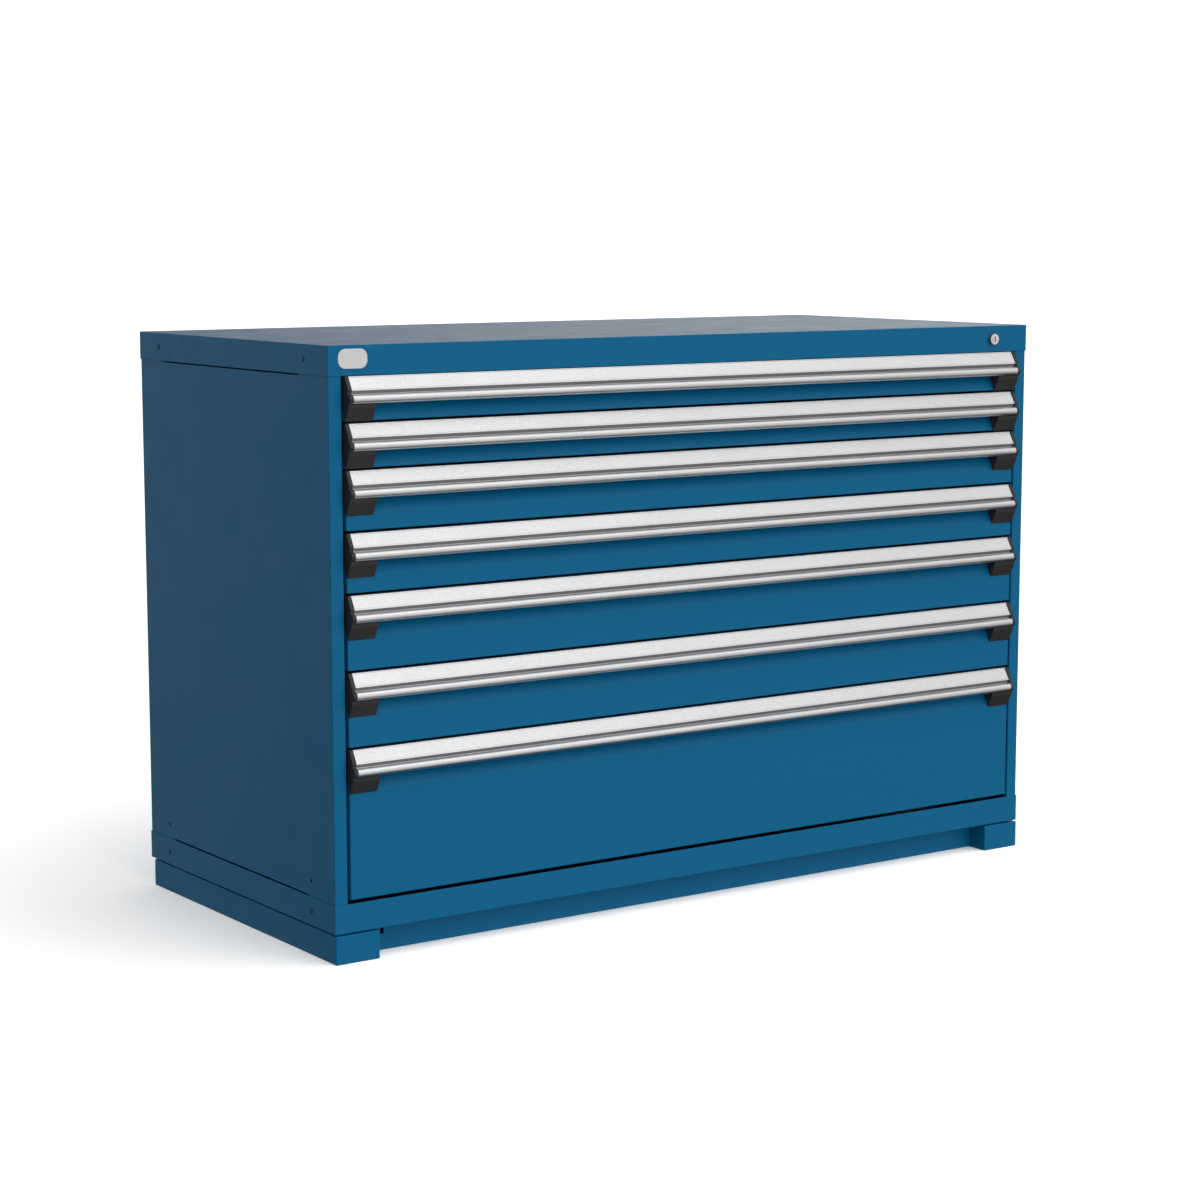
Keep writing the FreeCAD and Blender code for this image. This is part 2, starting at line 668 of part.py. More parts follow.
# the hooks that hang in the slots of the uprights, and the tongues over them
hooks, tongues, tips = [], [], []
for mid in (D.upright_near, D.upright_far):
    for side in (-1, 1):
        y = back(mid) + (D.upright_width / 2 - D.upright_lip / 2) * side
        a, b = y - D.hook_thick / 2, y + D.hook_thick / 2
        hooks.append(box_outline(a, -10.3, b, -5.6))
        tips.append(box_outline(a, -21.0, b, -5.6))
        tongues.append(box_outline(a, 8.3, b, 10.4))
start = D.upright_in + D.upright_sheet + 0.3
for shapes, a, b in ((hooks, D.fixed_rail_out - 0.5, start + 2.7), (tongues, D.fixed_rail_out - 0.5, start + 1.5), (tips, start, start + 2.7)):
    sketch = new_sketch(fixed_rail, "YZ_Plane", a)
    for shape in shapes:
        outline(sketch, shape)
    pad(fixed_rail, sketch, b - a)
    doc.recompute()
rail_pair = group("fixed_rail_pair", [fixed_rail, mirrored("fixed_rail_left", fixed_rail)])
RAIL_Z = [LINES[n + 1] + D.rail_rise for n in range(7)]
node(group("cabinet_rails", [group("fixed_rails_%d" % (n + 1), [rail_pair], z=RAIL_Z[n]) for n in range(7)]),
     "cabinet_rails")

# ---------------------------------------------------------------- carriages


def carriage_bar():
    """Right carriage: a flat bar with four riveted roller pins. Height 0 is the slide's centre."""
    body = new_body("carriage_bar_right")
    h = D.carriage_high / 2
    y0, y1 = back(D.carriage_front), back(D.carriage_front + D.carriage_length)
    x0, x1 = D.carriage_in, D.carriage_in + D.carriage_bar
    sketch = new_sketch(body, "YZ_Plane", x0)
    outline(sketch, rounded_box(y0, -h, y1, h, 7.0))
    pad(body, sketch, D.carriage_bar)
    doc.recompute()
    reach = D.roller_gap + D.roller_wide + 0.25
    for places, side, start in (
        ((D.inner_roller_a, D.inner_roller_b), -1, x0),
        ((D.outer_roller_a, D.outer_roller_b), 1, x1),
    ):
        # collar, pin and head of each roller
        for radius, near_end, far_end in (
            (D.pin_head_radius, size(0.0), D.roller_gap - 0.2),
            (D.pin_radius, size(0.0), reach),
            (D.pin_head_radius, reach, reach + D.pin_head_thick),
        ):
            a, b = start + near_end * side, start + far_end * side
            low = a if side > 0 else b
            sketch = new_sketch(body, "YZ_Plane", low)
            for place in places:
                circle(sketch, back(place), 0.0, radius)
            pad(body, sketch, far_end - near_end)
            doc.recompute()
    return body


def roller(name, place, side):
    body = new_body(name)
    start = D.carriage_in - D.roller_gap - D.roller_wide if side < 0 else D.carriage_in + D.carriage_bar + D.roller_gap
    sketch = new_sketch(body, "YZ_Plane", start)
    circle(sketch, back(place), 0.0, D.roller_radius)
    circle(sketch, back(place), 0.0, D.pin_radius + D.pin_play)
    feature = pad(body, sketch, D.roller_wide)
    fillet(body, feature, lambda e: near(getattr(e.Curve, "Radius", 0), D.roller_radius.value), 1.0)
    return body


right_carriage = group("right_carriage", [
    carriage_bar(),
    roller("roller_inner_front", D.inner_roller_a, -1),
    roller("roller_inner_rear", D.inner_roller_b, -1),
    roller("roller_outer_front", D.outer_roller_a, 1),
    roller("roller_outer_rear", D.outer_roller_b, 1),
])
carriage_pair = group("carriage_pair", [right_carriage, mirrored("left_carriage", right_carriage)])

# ---------------------------------------------------------------- handles
# One handle, its end caps and its label strip are drawn with the handle's top at height 0.


def slope_y(drop):
    """Y of the sloped face this far below the handle's top."""
    run = (D.slope_out - D.handle_top_out).value / D.slope_drop.value
    return LIPS - D.handle_top_out - size(drop) * run


def handle_profile():
    body = new_body("handle_profile")
    w, n = D.handle_wall, D.nose_radius
    nose_y = LIPS - D.nose_centre_out
    nose_z = -D.nose_centre_drop
    rear = back(D.recess_back - 0.1)
    rear_in = rear - w
    groove_y = slope_y(D.slope_drop) + D.groove_deep
    groove_z = -D.slope_drop - D.groove_high
    # where the nose starts under the groove
    start_z = nose_z + n * 0.97
    start_y = nose_y - n * 0.2431
    section = [
        (slope_y(0.5) - 0.15, -0.5),
        (slope_y(D.strip_edge), -D.strip_edge),
        (slope_y(D.strip_edge) + D.strip_deep, -D.strip_edge),
        (slope_y(D.slope_drop - D.strip_edge) + D.strip_deep, -D.slope_drop + D.strip_edge),
        (slope_y(D.slope_drop - D.strip_edge), -D.slope_drop + D.strip_edge),
        (slope_y(D.slope_drop) + 0.1, -D.slope_drop + 0.35),
        (slope_y(D.slope_drop) + 0.5, -D.slope_drop, 0.6, 1),
        (groove_y, -D.slope_drop - 0.1),
        (groove_y, groove_z),
        (start_y, start_z),
        (nose_y - n, nose_z, n, 1),
        (nose_y, nose_z - n, n, 1),
        (nose_y + 2.6, nose_z - n + 0.3),
        (nose_y + 2.6, nose_z - n + 0.3 + w * 0.8),
        (nose_y, nose_z - n + w),
        (nose_y - n + w, nose_z, n - w, -1),
        (nose_y, nose_z + n - w, n - w, -1),
        (groove_y + w, nose_z + n - w),
        (groove_y + w, -D.slope_drop + 1.2),
        (slope_y(4.0) + D.strip_deep + w, -w - 2.0),
        (slope_y(4.0) + D.strip_deep + w + 2.0, -w),
        (rear_in, -w),
        (rear_in, -22.0),
        (rear, -22.0),
        (rear, 0.0),
        (slope_y(0.0) + 0.6, 0.0),
    ]
    sketch = new_sketch(body, "YZ_Plane")
    outline(sketch, section)
    pad(body, sketch, D.front_width + D.cap_proud * 2 - D.cap_plate * 2 - D.lap * 2, middle=True)
    return body


def label_strip():
    body = new_body("label_strip_profile")
    a, b = D.strip_edge + 0.12, D.slope_drop - D.strip_edge - 0.12
    seat = D.strip_deep - 0.05
    sketch = new_sketch(body, "YZ_Plane")
    outline(sketch, [
        (slope_y(a) + seat - D.strip_thick, -a), (slope_y(a) + seat, -a),
        (slope_y(b) + seat, -b), (slope_y(b) + seat - D.strip_thick, -b),
    ])
    pad(body, sketch, D.front_width + D.cap_proud * 2 - D.cap_plate * 2 - D.strip_end * 2 - D.lap * 2, middle=True)
    return body


def end_cap(name):
    """Right end cap: the plate over the handle's end, and the block in the finger recess."""
    body = new_body(name)
    n = D.nose_radius
    nose_y, nose_z = LIPS - D.nose_centre_out, -D.nose_centre_drop
    outer = D.front_width / 2 + D.cap_proud
    plate_in = outer - D.cap_plate
    slant = (D.recess_back - D.front_face).value / (D.recess_bend - D.recess_top).value
    clear = D.lap + 0.1

    def recess_y(drop):
        return back(D.recess_back - clear) - (size(drop) - D.recess_top) * slant

    # the end plate follows the handle's outline
    plate = new_sketch(body, "YZ_Plane", plate_in)
    outline(plate, [
        (slope_y(0.0) + 0.8 - D.cap_rim_top, 0.0),
        (slope_y(0.8) - D.cap_rim_top, -0.8),
        (slope_y(D.slope_drop) - D.cap_rim_low, -D.slope_drop),
        (slope_y(D.slope_drop) + 1.4, -D.slope_drop - 0.9),
        (slope_y(D.slope_drop) + 1.4, nose_z + n * 0.93675 + 0.7),
        (nose_y - n * 0.35, nose_z + n * 0.93675),
        (nose_y - n, nose_z, n, 1),
        (nose_y - n * 0.35, nose_z - n * 0.93675, n, 1),
        (nose_y - 1.0, -D.cap_drop + 21.5),
        (back(-1.0), -D.cap_drop),
        (back(D.front_face - 0.25), -D.cap_drop),
        (back(D.front_face - 0.25), -D.recess_bend),
        (recess_y(D.recess_bend - 1.0), -D.recess_bend + 1.0),
        (recess_y(D.recess_top), -D.recess_top),
        (recess_y(D.recess_top), 0.0),
    ])
    pad(body, plate, D.cap_plate)
    doc.recompute()
    block = new_sketch(body, "YZ_Plane", outer - D.cap_width)
    top = D.nose_centre_drop + n + 0.4
    outline(block, [
        (nose_y - 1.6, -top),
        (nose_y - 2.4, -top - 1.0),
        (nose_y - 1.0, -D.cap_drop + 21.5),
        (back(-1.0), -D.cap_drop),
        (back(D.front_face - 0.25), -D.cap_drop),
        (back(D.front_face - 0.25), -D.recess_bend),
        (recess_y(D.recess_bend - 1.0), -D.recess_bend + 1.0),
        (recess_y(top), -top),
    ])
    feature = pad(body, block, D.cap_width - D.cap_plate + 2)
    doc.recompute()
    outer_x, block_x = outer.value, (outer - D.cap_width).value

    def rims(e):
        # the vertical and sloping front edges at the plate's outside and the block's inner side
        if any(not (near(v.X, outer_x) or near(v.X, block_x)) for v in e.Vertexes) or len(e.Vertexes) < 2:
            return False
        if not near(e.Vertexes[0].X, e.Vertexes[1].X):
            return False
        lim = back(-0.6).value
        return all(v.Y < lim for v in e.Vertexes)

    fillet(body, feature, rims, 0.5)
    return body


handle_master = handle_profile()
strip_master = label_strip()
cap_right = end_cap("end_cap_right")
caps_master = group("end_caps", [cap_right, mirrored("end_cap_left", cap_right)])
doc.recompute()

# ---------------------------------------------------------------- drawers


def drawer_front(n, low, top_line):
    """A folded steel front: flat below, slanting back into the finger recess, then upright behind the handle."""
    name = "drawer_%d_front" % n
    body = new_body(name)
    t = D.sheet
    handle_top = top_line + D.handle_rise
    face, deep, side_deep = back(D.front_face), back(D.front_face + D.front_depth), back(D.front_face + D.front_side_depth)
    recess = back(D.recess_back)
    z_top = handle_top - 3.0
    z_recess, z_bend = handle_top - D.recess_top, handle_top - D.recess_bend
    r = D.edge_round
    i = r - t
    slant = (D.recess_back - D.front_face).value / (D.recess_bend - D.recess_top).value
    tall = (z_bend - low).value > 2 * D.edge_round.value + 2
    if tall:
        outside = [(face + r, low), (face, low + r, r, -1), (face, z_bend), (recess, z_recess)]
        inside = [(recess + t, z_recess - 0.6), (face + t, z_bend - 0.3), (face + t, low + r), (face + r, low + t, i, 1)]
        shell_start = face + r
    else:
        # the fold comes above the bend line, so the whole front slants
        y_low = recess - (z_recess - low) * slant
        outside = [(y_low + 1.2, low), (recess, z_recess)]
        inside = [(recess + t, z_recess - 0.6), (y_low + 1.2 + t + t * slant, low + t)]
        shell_start = y_low + 1.2
    shell = [(deep, low)] + outside + [
        (recess, z_top), (deep, z_top), (deep, z_top - t), (recess + t, z_top - t),
    ] + inside + [(deep, low + t)]
    sketch = new_sketch(body, "YZ_Plane")
    outline(sketch, shell)
    pad(body, sketch, D.front_width, middle=True)
    doc.recompute()
    if tall:
        ends = [(face + r, low), (face, low + r, r, -1), (face, z_bend), (recess, z_recess), (recess, z_top),
                (side_deep, z_top), (side_deep, low)]
    else:
        ends = [(shell_start, low), (recess, z_recess), (recess, z_top), (side_deep, z_top), (side_deep, low)]
    for side in (-1, 1):
        x = -D.front_width / 2 if side < 0 else D.front_width / 2 - t
        sketch = new_sketch(body, "YZ_Plane", x)
        outline(sketch, ends)
        feature = pad(body, sketch, t)
        doc.recompute()
    edge_x, front_y = (D.front_width / 2).value, recess.value + 0.05

    def front_edges(e):
        if len(e.Vertexes) < 2:
            return False
        return all(near(abs(v.X), edge_x) and v.Y < front_y for v in e.Vertexes) and near(e.Vertexes[0].X, e.Vertexes[1].X)

    fillet(body, feature, front_edges, D.front_edge_round)
    return body


def tray(n, low_line, top_line):
    """The drawer's body: welded sheets, two rails and the lock catch, each its own solid."""
    p = "drawer_%d_" % n
    t, g = D.sheet, D.weld_gap
    half = D.tray_width / 2
    y0 = back(D.tray_front)  # front of the inner front wall
    y1, y2 = y0 + t, y0 + t + D.tray_depth
    z0, z1 = low_line + D.tray_rise, top_line - D.tray_clear
    # bottom with three pressed ribs
    bottom = new_body(p + "bottom")
    sketch = new_sketch(bottom, "XZ_Plane", y1 + g)
    path = [(-half, z0), ]
    for middle in (-0.5, 0.0, 0.5):
        x = half * 1.5 * middle * 0.95
        a = D.rib_wide / 2
        path += [(x - a, z0), (x - a + 5, z0 - D.rib_high), (x + a - 5, z0 - D.rib_high), (x + a, z0)]
    path += [(half, z0), (half, z0 + t)]
    for middle in (0.5, 0.0, -0.5):
        x = half * 1.5 * middle * 0.95
        a = D.rib_wide / 2 - 0.6
        path += [(x + a, z0 + t), (x + a - 5, z0 + t - D.rib_high), (x - a + 5, z0 + t - D.rib_high), (x - a, z0 + t)]
    path += [(-half, z0 + t)]
    outline(sketch, path)
    pad(bottom, sketch, D.tray_depth - g * 2)
    # right side wall with its folded upper edge
    wall = new_body(p + "wall")
    sketch = new_sketch(wall, "XZ_Plane", y1 + g)
    x0, f = half + g, D.tray_flange
    r = D.edge_round
    i = r - t
    outline(sketch, [
        (x0, z0), (x0 + t, z0), (x0 + t, z1 - r), (x0 + r, z1 - t, i, -1), (x0 + f - t, z1 - t),
        (x0 + f - t, z1 - t - 4), (x0 + f, z1 - t - 4), (x0 + f, z1), (x0 + r, z1), (x0, z1 - r, r, 1),
    ])
    pad(wall, sketch, D.tray_depth - g * 2)
    # rail on the wall
    rail = new_body(p + "rail")
    sketch = new_sketch(rail, "XZ_Plane", y1 + g)
    centre = low_line + D.rail_rise
    h, web, tf = D.rail_half, D.rail_web, D.rail_sheet
    b = x0 + t + g
    tip = b + D.drawer_rail_reach
    outline(sketch, [
        (b, centre - h), (tip, centre - h), (tip, centre - h + tf), (b + web, centre - h + tf),
        (b + web, centre + h - tf), (tip, centre + h - tf), (tip, centre + h), (b, centre + h),
    ])
    pad(rail, sketch, D.drawer_rail_length)
    left = mirrored(p + "left_side", group(p + "right_side", [wall, rail]))
    # inner front wall and back wall
    front_half = D.tray_front_width / 2
    front = new_body(p + "inner_front")
    sketch = new_sketch(front, "XZ_Plane", y0)
    outline(sketch, box_outline(-front_half, z0, front_half, z1))
    pad(front, sketch, t)
    rear = new_body(p + "back")
    sketch = new_sketch(rear, "YZ_Plane")
    outline(sketch, [
        (y2, z0), (y2 + t, z0), (y2 + t, z1 - t), (y2 + f, z1 - t), (y2 + f, z1), (y2 + r, z1), (y2, z1 - r, r, 1),
    ])
    pad(rear, sketch, D.tray_width + g * 2 + t * 2, middle=True)
    catch = bar_box(p + "lock_catch", D.catch_in, D.catch_out, back(D.catch_front), back(D.catch_front + D.catch_thick),
                    low_line + D.catch_rise, low_line + D.catch_rise + D.catch_high)
    right = doc.getObject(p + "right_side")
    return group(p + "tray", [bottom, right, left, front, rear, catch])


for n in range(1, 8):
    top_line, low_line = LINES[n - 1], LINES[n]
    handle_top = top_line + D.handle_rise
    rise = D.front_rise_last if n == 7 else D.front_rise
    node(tray(n, low_line, top_line), "drawer_%d_tray" % n)
    node(drawer_front(n, low_line + rise, top_line), "drawer_%d_front" % n)
    node(group("drawer_%d_handle" % n, [handle_master], z=handle_top), "drawer_%d_handle" % n)
    node(group("drawer_%d_handle_caps" % n, [caps_master], z=handle_top), "drawer_%d_handle_caps" % n)
    node(group("drawer_%d_label_strip" % n, [strip_master], z=handle_top), "drawer_%d_label_strip" % n)
    node(group("drawer_%d_carriages" % n, [carriage_pair], z=RAIL_Z[n - 1]), "drawer_%d_carriages" % n)

# ---------------------------------------------------------------- base

right_leg = new_body("base_right_leg")
leg_in, leg_out = HALF - D.leg_inset - D.leg_width, HALF - D.leg_inset
leg_top = D.base_height - D.leg_gap
leg_length = D.leg_rear - D.leg_front
w = D.leg_wall
sketch = new_sketch(right_leg, "XZ_Plane", back(D.leg_front))
outline(sketch, rounded_box(leg_in, 0.0, leg_out, leg_top, 2.0))
tube = pad(right_leg, sketch, leg_length)
fillet(right_leg, tube, lambda e: all(near(v.Y, back(D.leg_front).value) for v in e.Vertexes), 1.5)
sketch = new_sketch(right_leg, "XZ_Plane", back(D.leg_rear))
outline(sketch, box_outline(leg_in + w, w, leg_out - w, leg_top - w))
pocket(right_leg, sketch, leg_length - w)
doc.recompute()
sketch = new_sketch(right_leg, "XZ_Plane", back(D.leg_front + 14))
pad_half = D.leg_pad_width / 2
outline(sketch, box_outline(LEG_MIDDLE - pad_half, leg_top - 1, LEG_MIDDLE + pad_half, D.base_height - 0.05))
pad(right_leg, sketch, leg_length - 28)
doc.recompute()
sketch = new_sketch(right_leg, "XY_Plane", D.base_height + 5)
for y in LEG_BOLTS_Y:
    circle(sketch, LEG_MIDDLE, y, D.leg_bolt_hole)
pocket(right_leg, sketch, 5 + D.leg_gap + w + 4)
doc.recompute()
node(right_leg, "base_right_leg")
node(mirrored("base_left_leg", right_leg), "base_left_leg")


def base_cover(name, y, facing):
    """A plate between the legs with its upper and lower edges folded back. facing is -1 in front and 1 behind."""
    body = new_body(name)
    t, f = D.sheet, D.cover_flange
    low, high = D.cover_lift, D.base_height - 0.8
    inner = y - t * facing
    end = y - f * facing
    sketch = new_sketch(body, "YZ_Plane")
    outline(sketch, [
        (y, low), (y, high), (end, high), (end, high - t), (inner, high - t), (inner, low + t), (end, low + t), (end, low),
    ])
    feature = pad(body, sketch, (leg_in - 0.3) * 2, middle=True)
    fillet(body, feature, lambda e: all(near(v.Y, y.value) for v in e.Vertexes) and e.BoundBox.XLength > 100, 1.2)
    doc.recompute()
    # finger notch at the upper left corner, for lifting the plate out
    cut = new_sketch(body, "XZ_Plane", y + 5)
    x = -leg_in + 29
    outline(cut, box_outline(x - 3.6, D.base_height - 22, x + 3.6, D.base_height + 2))
    pocket(body, cut, 14)
    return body


node(base_cover("base_front_cover", back(D.cover_front), -1), "base_front_cover")
node(base_cover("base_rear_cover", back(D.cover_rear), 1), "base_rear_cover")

# ---------------------------------------------------------------- lock

LOCK_Z = TOP - D.lock_drop

lock_housing = new_body("lock_cylinder")
sketch = new_sketch(lock_housing, "XZ_Plane", LIPS - D.lock_proud)
circle(sketch, D.lock_x, LOCK_Z, D.lock_flange)
collar = pad(lock_housing, sketch, D.lock_proud - 0.05)
fillet(lock_housing, collar, lambda e: near(getattr(e.Curve, "Radius", 0), D.lock_flange.value) and all(
    near(v.Y, (LIPS - D.lock_proud).value) for v in e.Vertexes), 1.2)
sketch = new_sketch(lock_housing, "XZ_Plane", LIPS - 1.0)
circle(sketch, D.lock_x, LOCK_Z, D.lock_body)
pad(lock_housing, sketch, 11.0)
doc.recompute()
sketch = new_sketch(lock_housing, "XZ_Plane", LIPS - D.lock_proud - 2)
circle(sketch, D.lock_x, LOCK_Z, D.plug_radius + D.plug_play)
pocket(lock_housing, sketch, 40, forwards=True)

lock_nut = new_body("lock_nut")
sketch = new_sketch(lock_nut, "XZ_Plane", LIPS + D.sheet + 0.05)
points = []
for k in range(6):
    a = math.radians(60 * k + 30)
    points.append((D.lock_x + D.lock_body * (1.5 * math.cos(a)), LOCK_Z + D.lock_body * (1.5 * math.sin(a))))
outline(sketch, points)
circle(sketch, D.lock_x, LOCK_Z, D.lock_body + 0.06)
pad(lock_nut, sketch, 3.5)
node(group("lock_housing", [lock_housing, lock_nut]), "lock_housing")

lock_plug = new_body("lock_plug")
sketch = new_sketch(lock_plug, "XZ_Plane", LIPS - D.lock_proud - 0.4)
circle(sketch, D.lock_x, LOCK_Z, D.plug_radius)
front_disc = pad(lock_plug, sketch, D.lock_proud + 0.4 + 11.0)
fillet(lock_plug, front_disc, lambda e: all(near(v.Y, (LIPS - D.lock_proud - 0.4).value) for v in e.Vertexes) and hasattr(
    e.Curve, "Radius"), 0.5)
sketch = new_sketch(lock_plug, "XZ_Plane", LIPS + 10.5)
circle(sketch, D.lock_x, LOCK_Z, 4.0)
pad(lock_plug, sketch, 5.0)
doc.recompute()
sketch = new_sketch(lock_plug, "XZ_Plane", LIPS - D.lock_proud - 2)
kw, kh = D.key_wide / 2, D.key_high / 2
outline(sketch, rounded_box(D.lock_x - kw, LOCK_Z - kh, D.lock_x + kw, LOCK_Z + kh, 0.5))
pocket(lock_plug, sketch, D.key_deep + 2, forwards=True)
node(lock_plug, "lock_plug")

lock_cam = new_body("lock_cam")
pin_x = D.lock_x - D.cam_throw * math.sin(math.pi / 4)
pin_z = LOCK_Z - D.cam_throw * math.sin(math.pi / 4)
sketch = new_sketch(lock_cam, "XZ_Plane", LIPS + 11.1)
circle(sketch, D.lock_x, LOCK_Z, 13.0)
circle(sketch, D.lock_x, LOCK_Z, 4.05)
pad(lock_cam, sketch, 2.5)
doc.recompute()
sketch = new_sketch(lock_cam, "XZ_Plane", LIPS + 12.5)
circle(sketch, pin_x, pin_z, D.cam_pin)
pad(lock_cam, sketch, D.bar_front - 6.5)
node(lock_cam, "lock_cam")

# lock bar: a vertical bar in the right post, an arm to the cam and a tab for each drawer
bar_low, bar_high = UNDER + 66.0, LOCK_Z + 1.1
bar = bar_box("lock_bar_upright", D.bar_x, D.bar_x + D.bar_thick, back(D.bar_front), back(D.bar_front + D.bar_depth),
              bar_low, bar_high)
arm = new_body("lock_bar_arm")
sketch = new_sketch(arm, "XZ_Plane", back(D.bar_front + 2.2))
outline(sketch, rounded_box(D.lock_x - 20, pin_z - 7, D.bar_x - 0.1, pin_z + 7, 3.0))
slot_left, slot_right = D.lock_x - D.cam_throw - D.cam_pin - 0.6, pin_x + D.cam_pin + 0.6
slot = D.cam_pin + 0.6
outline(sketch, rounded_box(slot_left, pin_z - slot, slot_right, pin_z + slot, 2.9))
pad(arm, sketch, 3.0)
tabs = [
    bar_box("lock_tab_%d" % (n + 1), D.tab_in, D.bar_x - 0.1, back(D.tab_front), back(D.tab_front + D.tab_thick),
            LINES[n + 1] + D.tab_rise, LINES[n + 1] + D.tab_rise + D.tab_high)
    for n in range(7)
]
node(group("lock_bar", [bar, arm] + tabs), "lock_bar")

# guides on the inside of the right side panel
guides = []
for n, z in enumerate((250.0, 530.0, 740.0), 1):
    guide = new_body("lock_bar_guide_%d" % n)
    sketch = new_sketch(guide, "XY_Plane", UNDER + z)
    outline(sketch, rounded_box(D.bar_x - 2.8, back(D.bar_front - 1.6), SIDE - D.sheet - 0.1, back(D.bar_front + D.bar_depth + 2), 1.0))
    q = D.guide_play
    outline(sketch, box_outline(D.bar_x - q, back(D.bar_front - q), D.bar_x + D.bar_thick + q,
                                back(D.bar_front + D.bar_depth + q)))
    pad(guide, sketch, 20.0)
    guides.append(guide)
node(group("lock_bar_guides", guides), "lock_bar_guides")

# ---------------------------------------------------------------- name plate, left blank

name_plate = new_body("name_plate")
sketch = new_sketch(name_plate, "XZ_Plane", LIPS - D.plate_thick - 0.05)
pw, ph = D.plate_width / 2, D.plate_high / 2
px, pz = -D.plate_x, TOP - D.plate_drop
outline(sketch, rounded_box(px - pw, pz - ph, px + pw, pz + ph, D.plate_high * 0.42))
blank = pad(name_plate, sketch, D.plate_thick)
fillet(name_plate, blank, lambda e: all(near(v.Y, (LIPS - D.plate_thick - 0.05).value) for v in e.Vertexes), 0.5)
node(name_plate, "name_plate")

# ---------------------------------------------------------------- fasteners


def side_screw():
    """A button-head screw through the right lip, its axis along X at Y 0, Z 0."""
    body = new_body("side_screw")
    sketch = new_sketch(body, "YZ_Plane", HALF + 0.03)
    circle(sketch, 0.0, 0.0, D.screw_head)
    head = pad(body, sketch, D.screw_proud)
    fillet(body, head, lambda e: all(near(v.X, (HALF + 0.03 + D.screw_proud).value) for v in e.Vertexes), 0.8)
    sketch = new_sketch(body, "YZ_Plane", HALF - 9)
    circle(sketch, 0.0, 0.0, D.screw_radius)
    pad(body, sketch, 9.5)
    doc.recompute()
    # cross slot
    sketch = new_sketch(body, "YZ_Plane", HALF + 0.5)
    outline(sketch, [(-0.35, -2.2), (0.35, -2.2), (0.35, -0.35), (2.2, -0.35), (2.2, 0.35), (0.35, 0.35),
                     (0.35, 2.2), (-0.35, 2.2), (-0.35, 0.35), (-2.2, 0.35), (-2.2, -0.35), (-0.35, -0.35)])
    pocket(body, sketch, 5, forwards=True)
    return body


screw = side_screw()
right_screws = []
for place in (D.upright_near, D.upright_far):
    for z in (TOP - D.lip_screw_drop, UNDER + D.lip_screw_rise):
        right_screws.append(group("side_screw_at", [screw], y=back(place), z=z))
right_screws = group("right_screws", right_screws)

rear_screw = new_body("rear_screw")
sketch = new_sketch(rear_screw, "XZ_Plane", REAR - D.sheet - D.lap + 0.03)
circle(sketch, REAR_SCREW_X, 0.0, D.screw_head)
head = pad(rear_screw, sketch, 1.2)
fillet(rear_screw, head, lambda e: all(near(v.Y, (REAR - D.sheet - D.lap + 1.23).value) for v in e.Vertexes), 0.6)
sketch = new_sketch(rear_screw, "XZ_Plane", REAR - 14)
circle(sketch, REAR_SCREW_X, 0.0, D.screw_radius)
pad(rear_screw, sketch, 12.6)
right_rear = group("right_rear_screws", [group("rear_screw_at", [rear_screw], z=z) for z in REAR_SCREWS_Z])

leg_bolt = new_body("leg_bolt")
sketch = new_sketch(leg_bolt, "XY_Plane", D.base_height - 13)
circle(sketch, LEG_MIDDLE, 0.0, D.leg_bolt)
pad(leg_bolt, sketch, 15.0)
doc.recompute()
sketch = new_sketch(leg_bolt, "XY_Plane", D.base_height + D.sheet + 0.03)
outline(sketch, [(LEG_MIDDLE + D.leg_bolt_head * (1.1547 * math.cos(math.radians(60 * k))),
                  D.leg_bolt_head * (1.1547 * math.sin(math.radians(60 * k)))) for k in range(6)])
pad(leg_bolt, sketch, 5.0)
right_leg_bolts = group("right_leg_bolts", [group("leg_bolt_at", [leg_bolt], y=y) for y in LEG_BOLTS_Y])

right_fasteners = group("right_fasteners", [right_screws, right_rear, right_leg_bolts])
node(group("housing_bolts", [right_fasteners, mirrored("left_fasteners", right_fasteners)]), "housing_bolts")

# ---------------------------------------------------------------- checks and files

doc.recompute()
for obj in doc.Objects:
    if "Invalid" in obj.State or "Error" in obj.State:
        raise RuntimeError("%s (%s) failed: %s" % (obj.Name, obj.Label, obj.State))
    if obj.isDerivedFrom("Sketcher::SketchObject") and not obj.FullyConstrained:
        raise RuntimeError("%s isn't fully constrained" % obj.Name)

names = [name for name, obj in NODES]
if len(names) != len(set(names)) or len(names) > 60:
    raise RuntimeError("%d sub-parts, %d names" % (len(names), len(set(names))))
for name, obj in NODES:
    shape = obj.Shape
    if shape.isNull() or not shape.isValid() or not shape.Solids:
        raise RuntimeError("%s has no valid shape" % name)
    for solid in shape.Solids:
        if solid.Volume <= 0:
            raise RuntimeError("%s holds an empty solid" % name)

os.makedirs("parts", exist_ok=True)
for name, obj in NODES:
    obj.Shape.exportStep("parts/%s.step" % name)

low, high = [1e9] * 3, [-1e9] * 3
for name, obj in NODES:
    box = obj.Shape.BoundBox
    low = [min(a, b) for a, b in zip(low, (box.XMin, box.YMin, box.ZMin))]
    high = [max(a, b) for a, b in zip(high, (box.XMax, box.YMax, box.ZMax))]
    print("%-28s %3d solids  %10.1f mm3" % (name, len(obj.Shape.Solids), obj.Shape.Volume))
print("%d sub-parts, box %s to %s" % (len(NODES), [round(v, 2) for v in low], [round(v, 2) for v in high]))
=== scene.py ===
import math

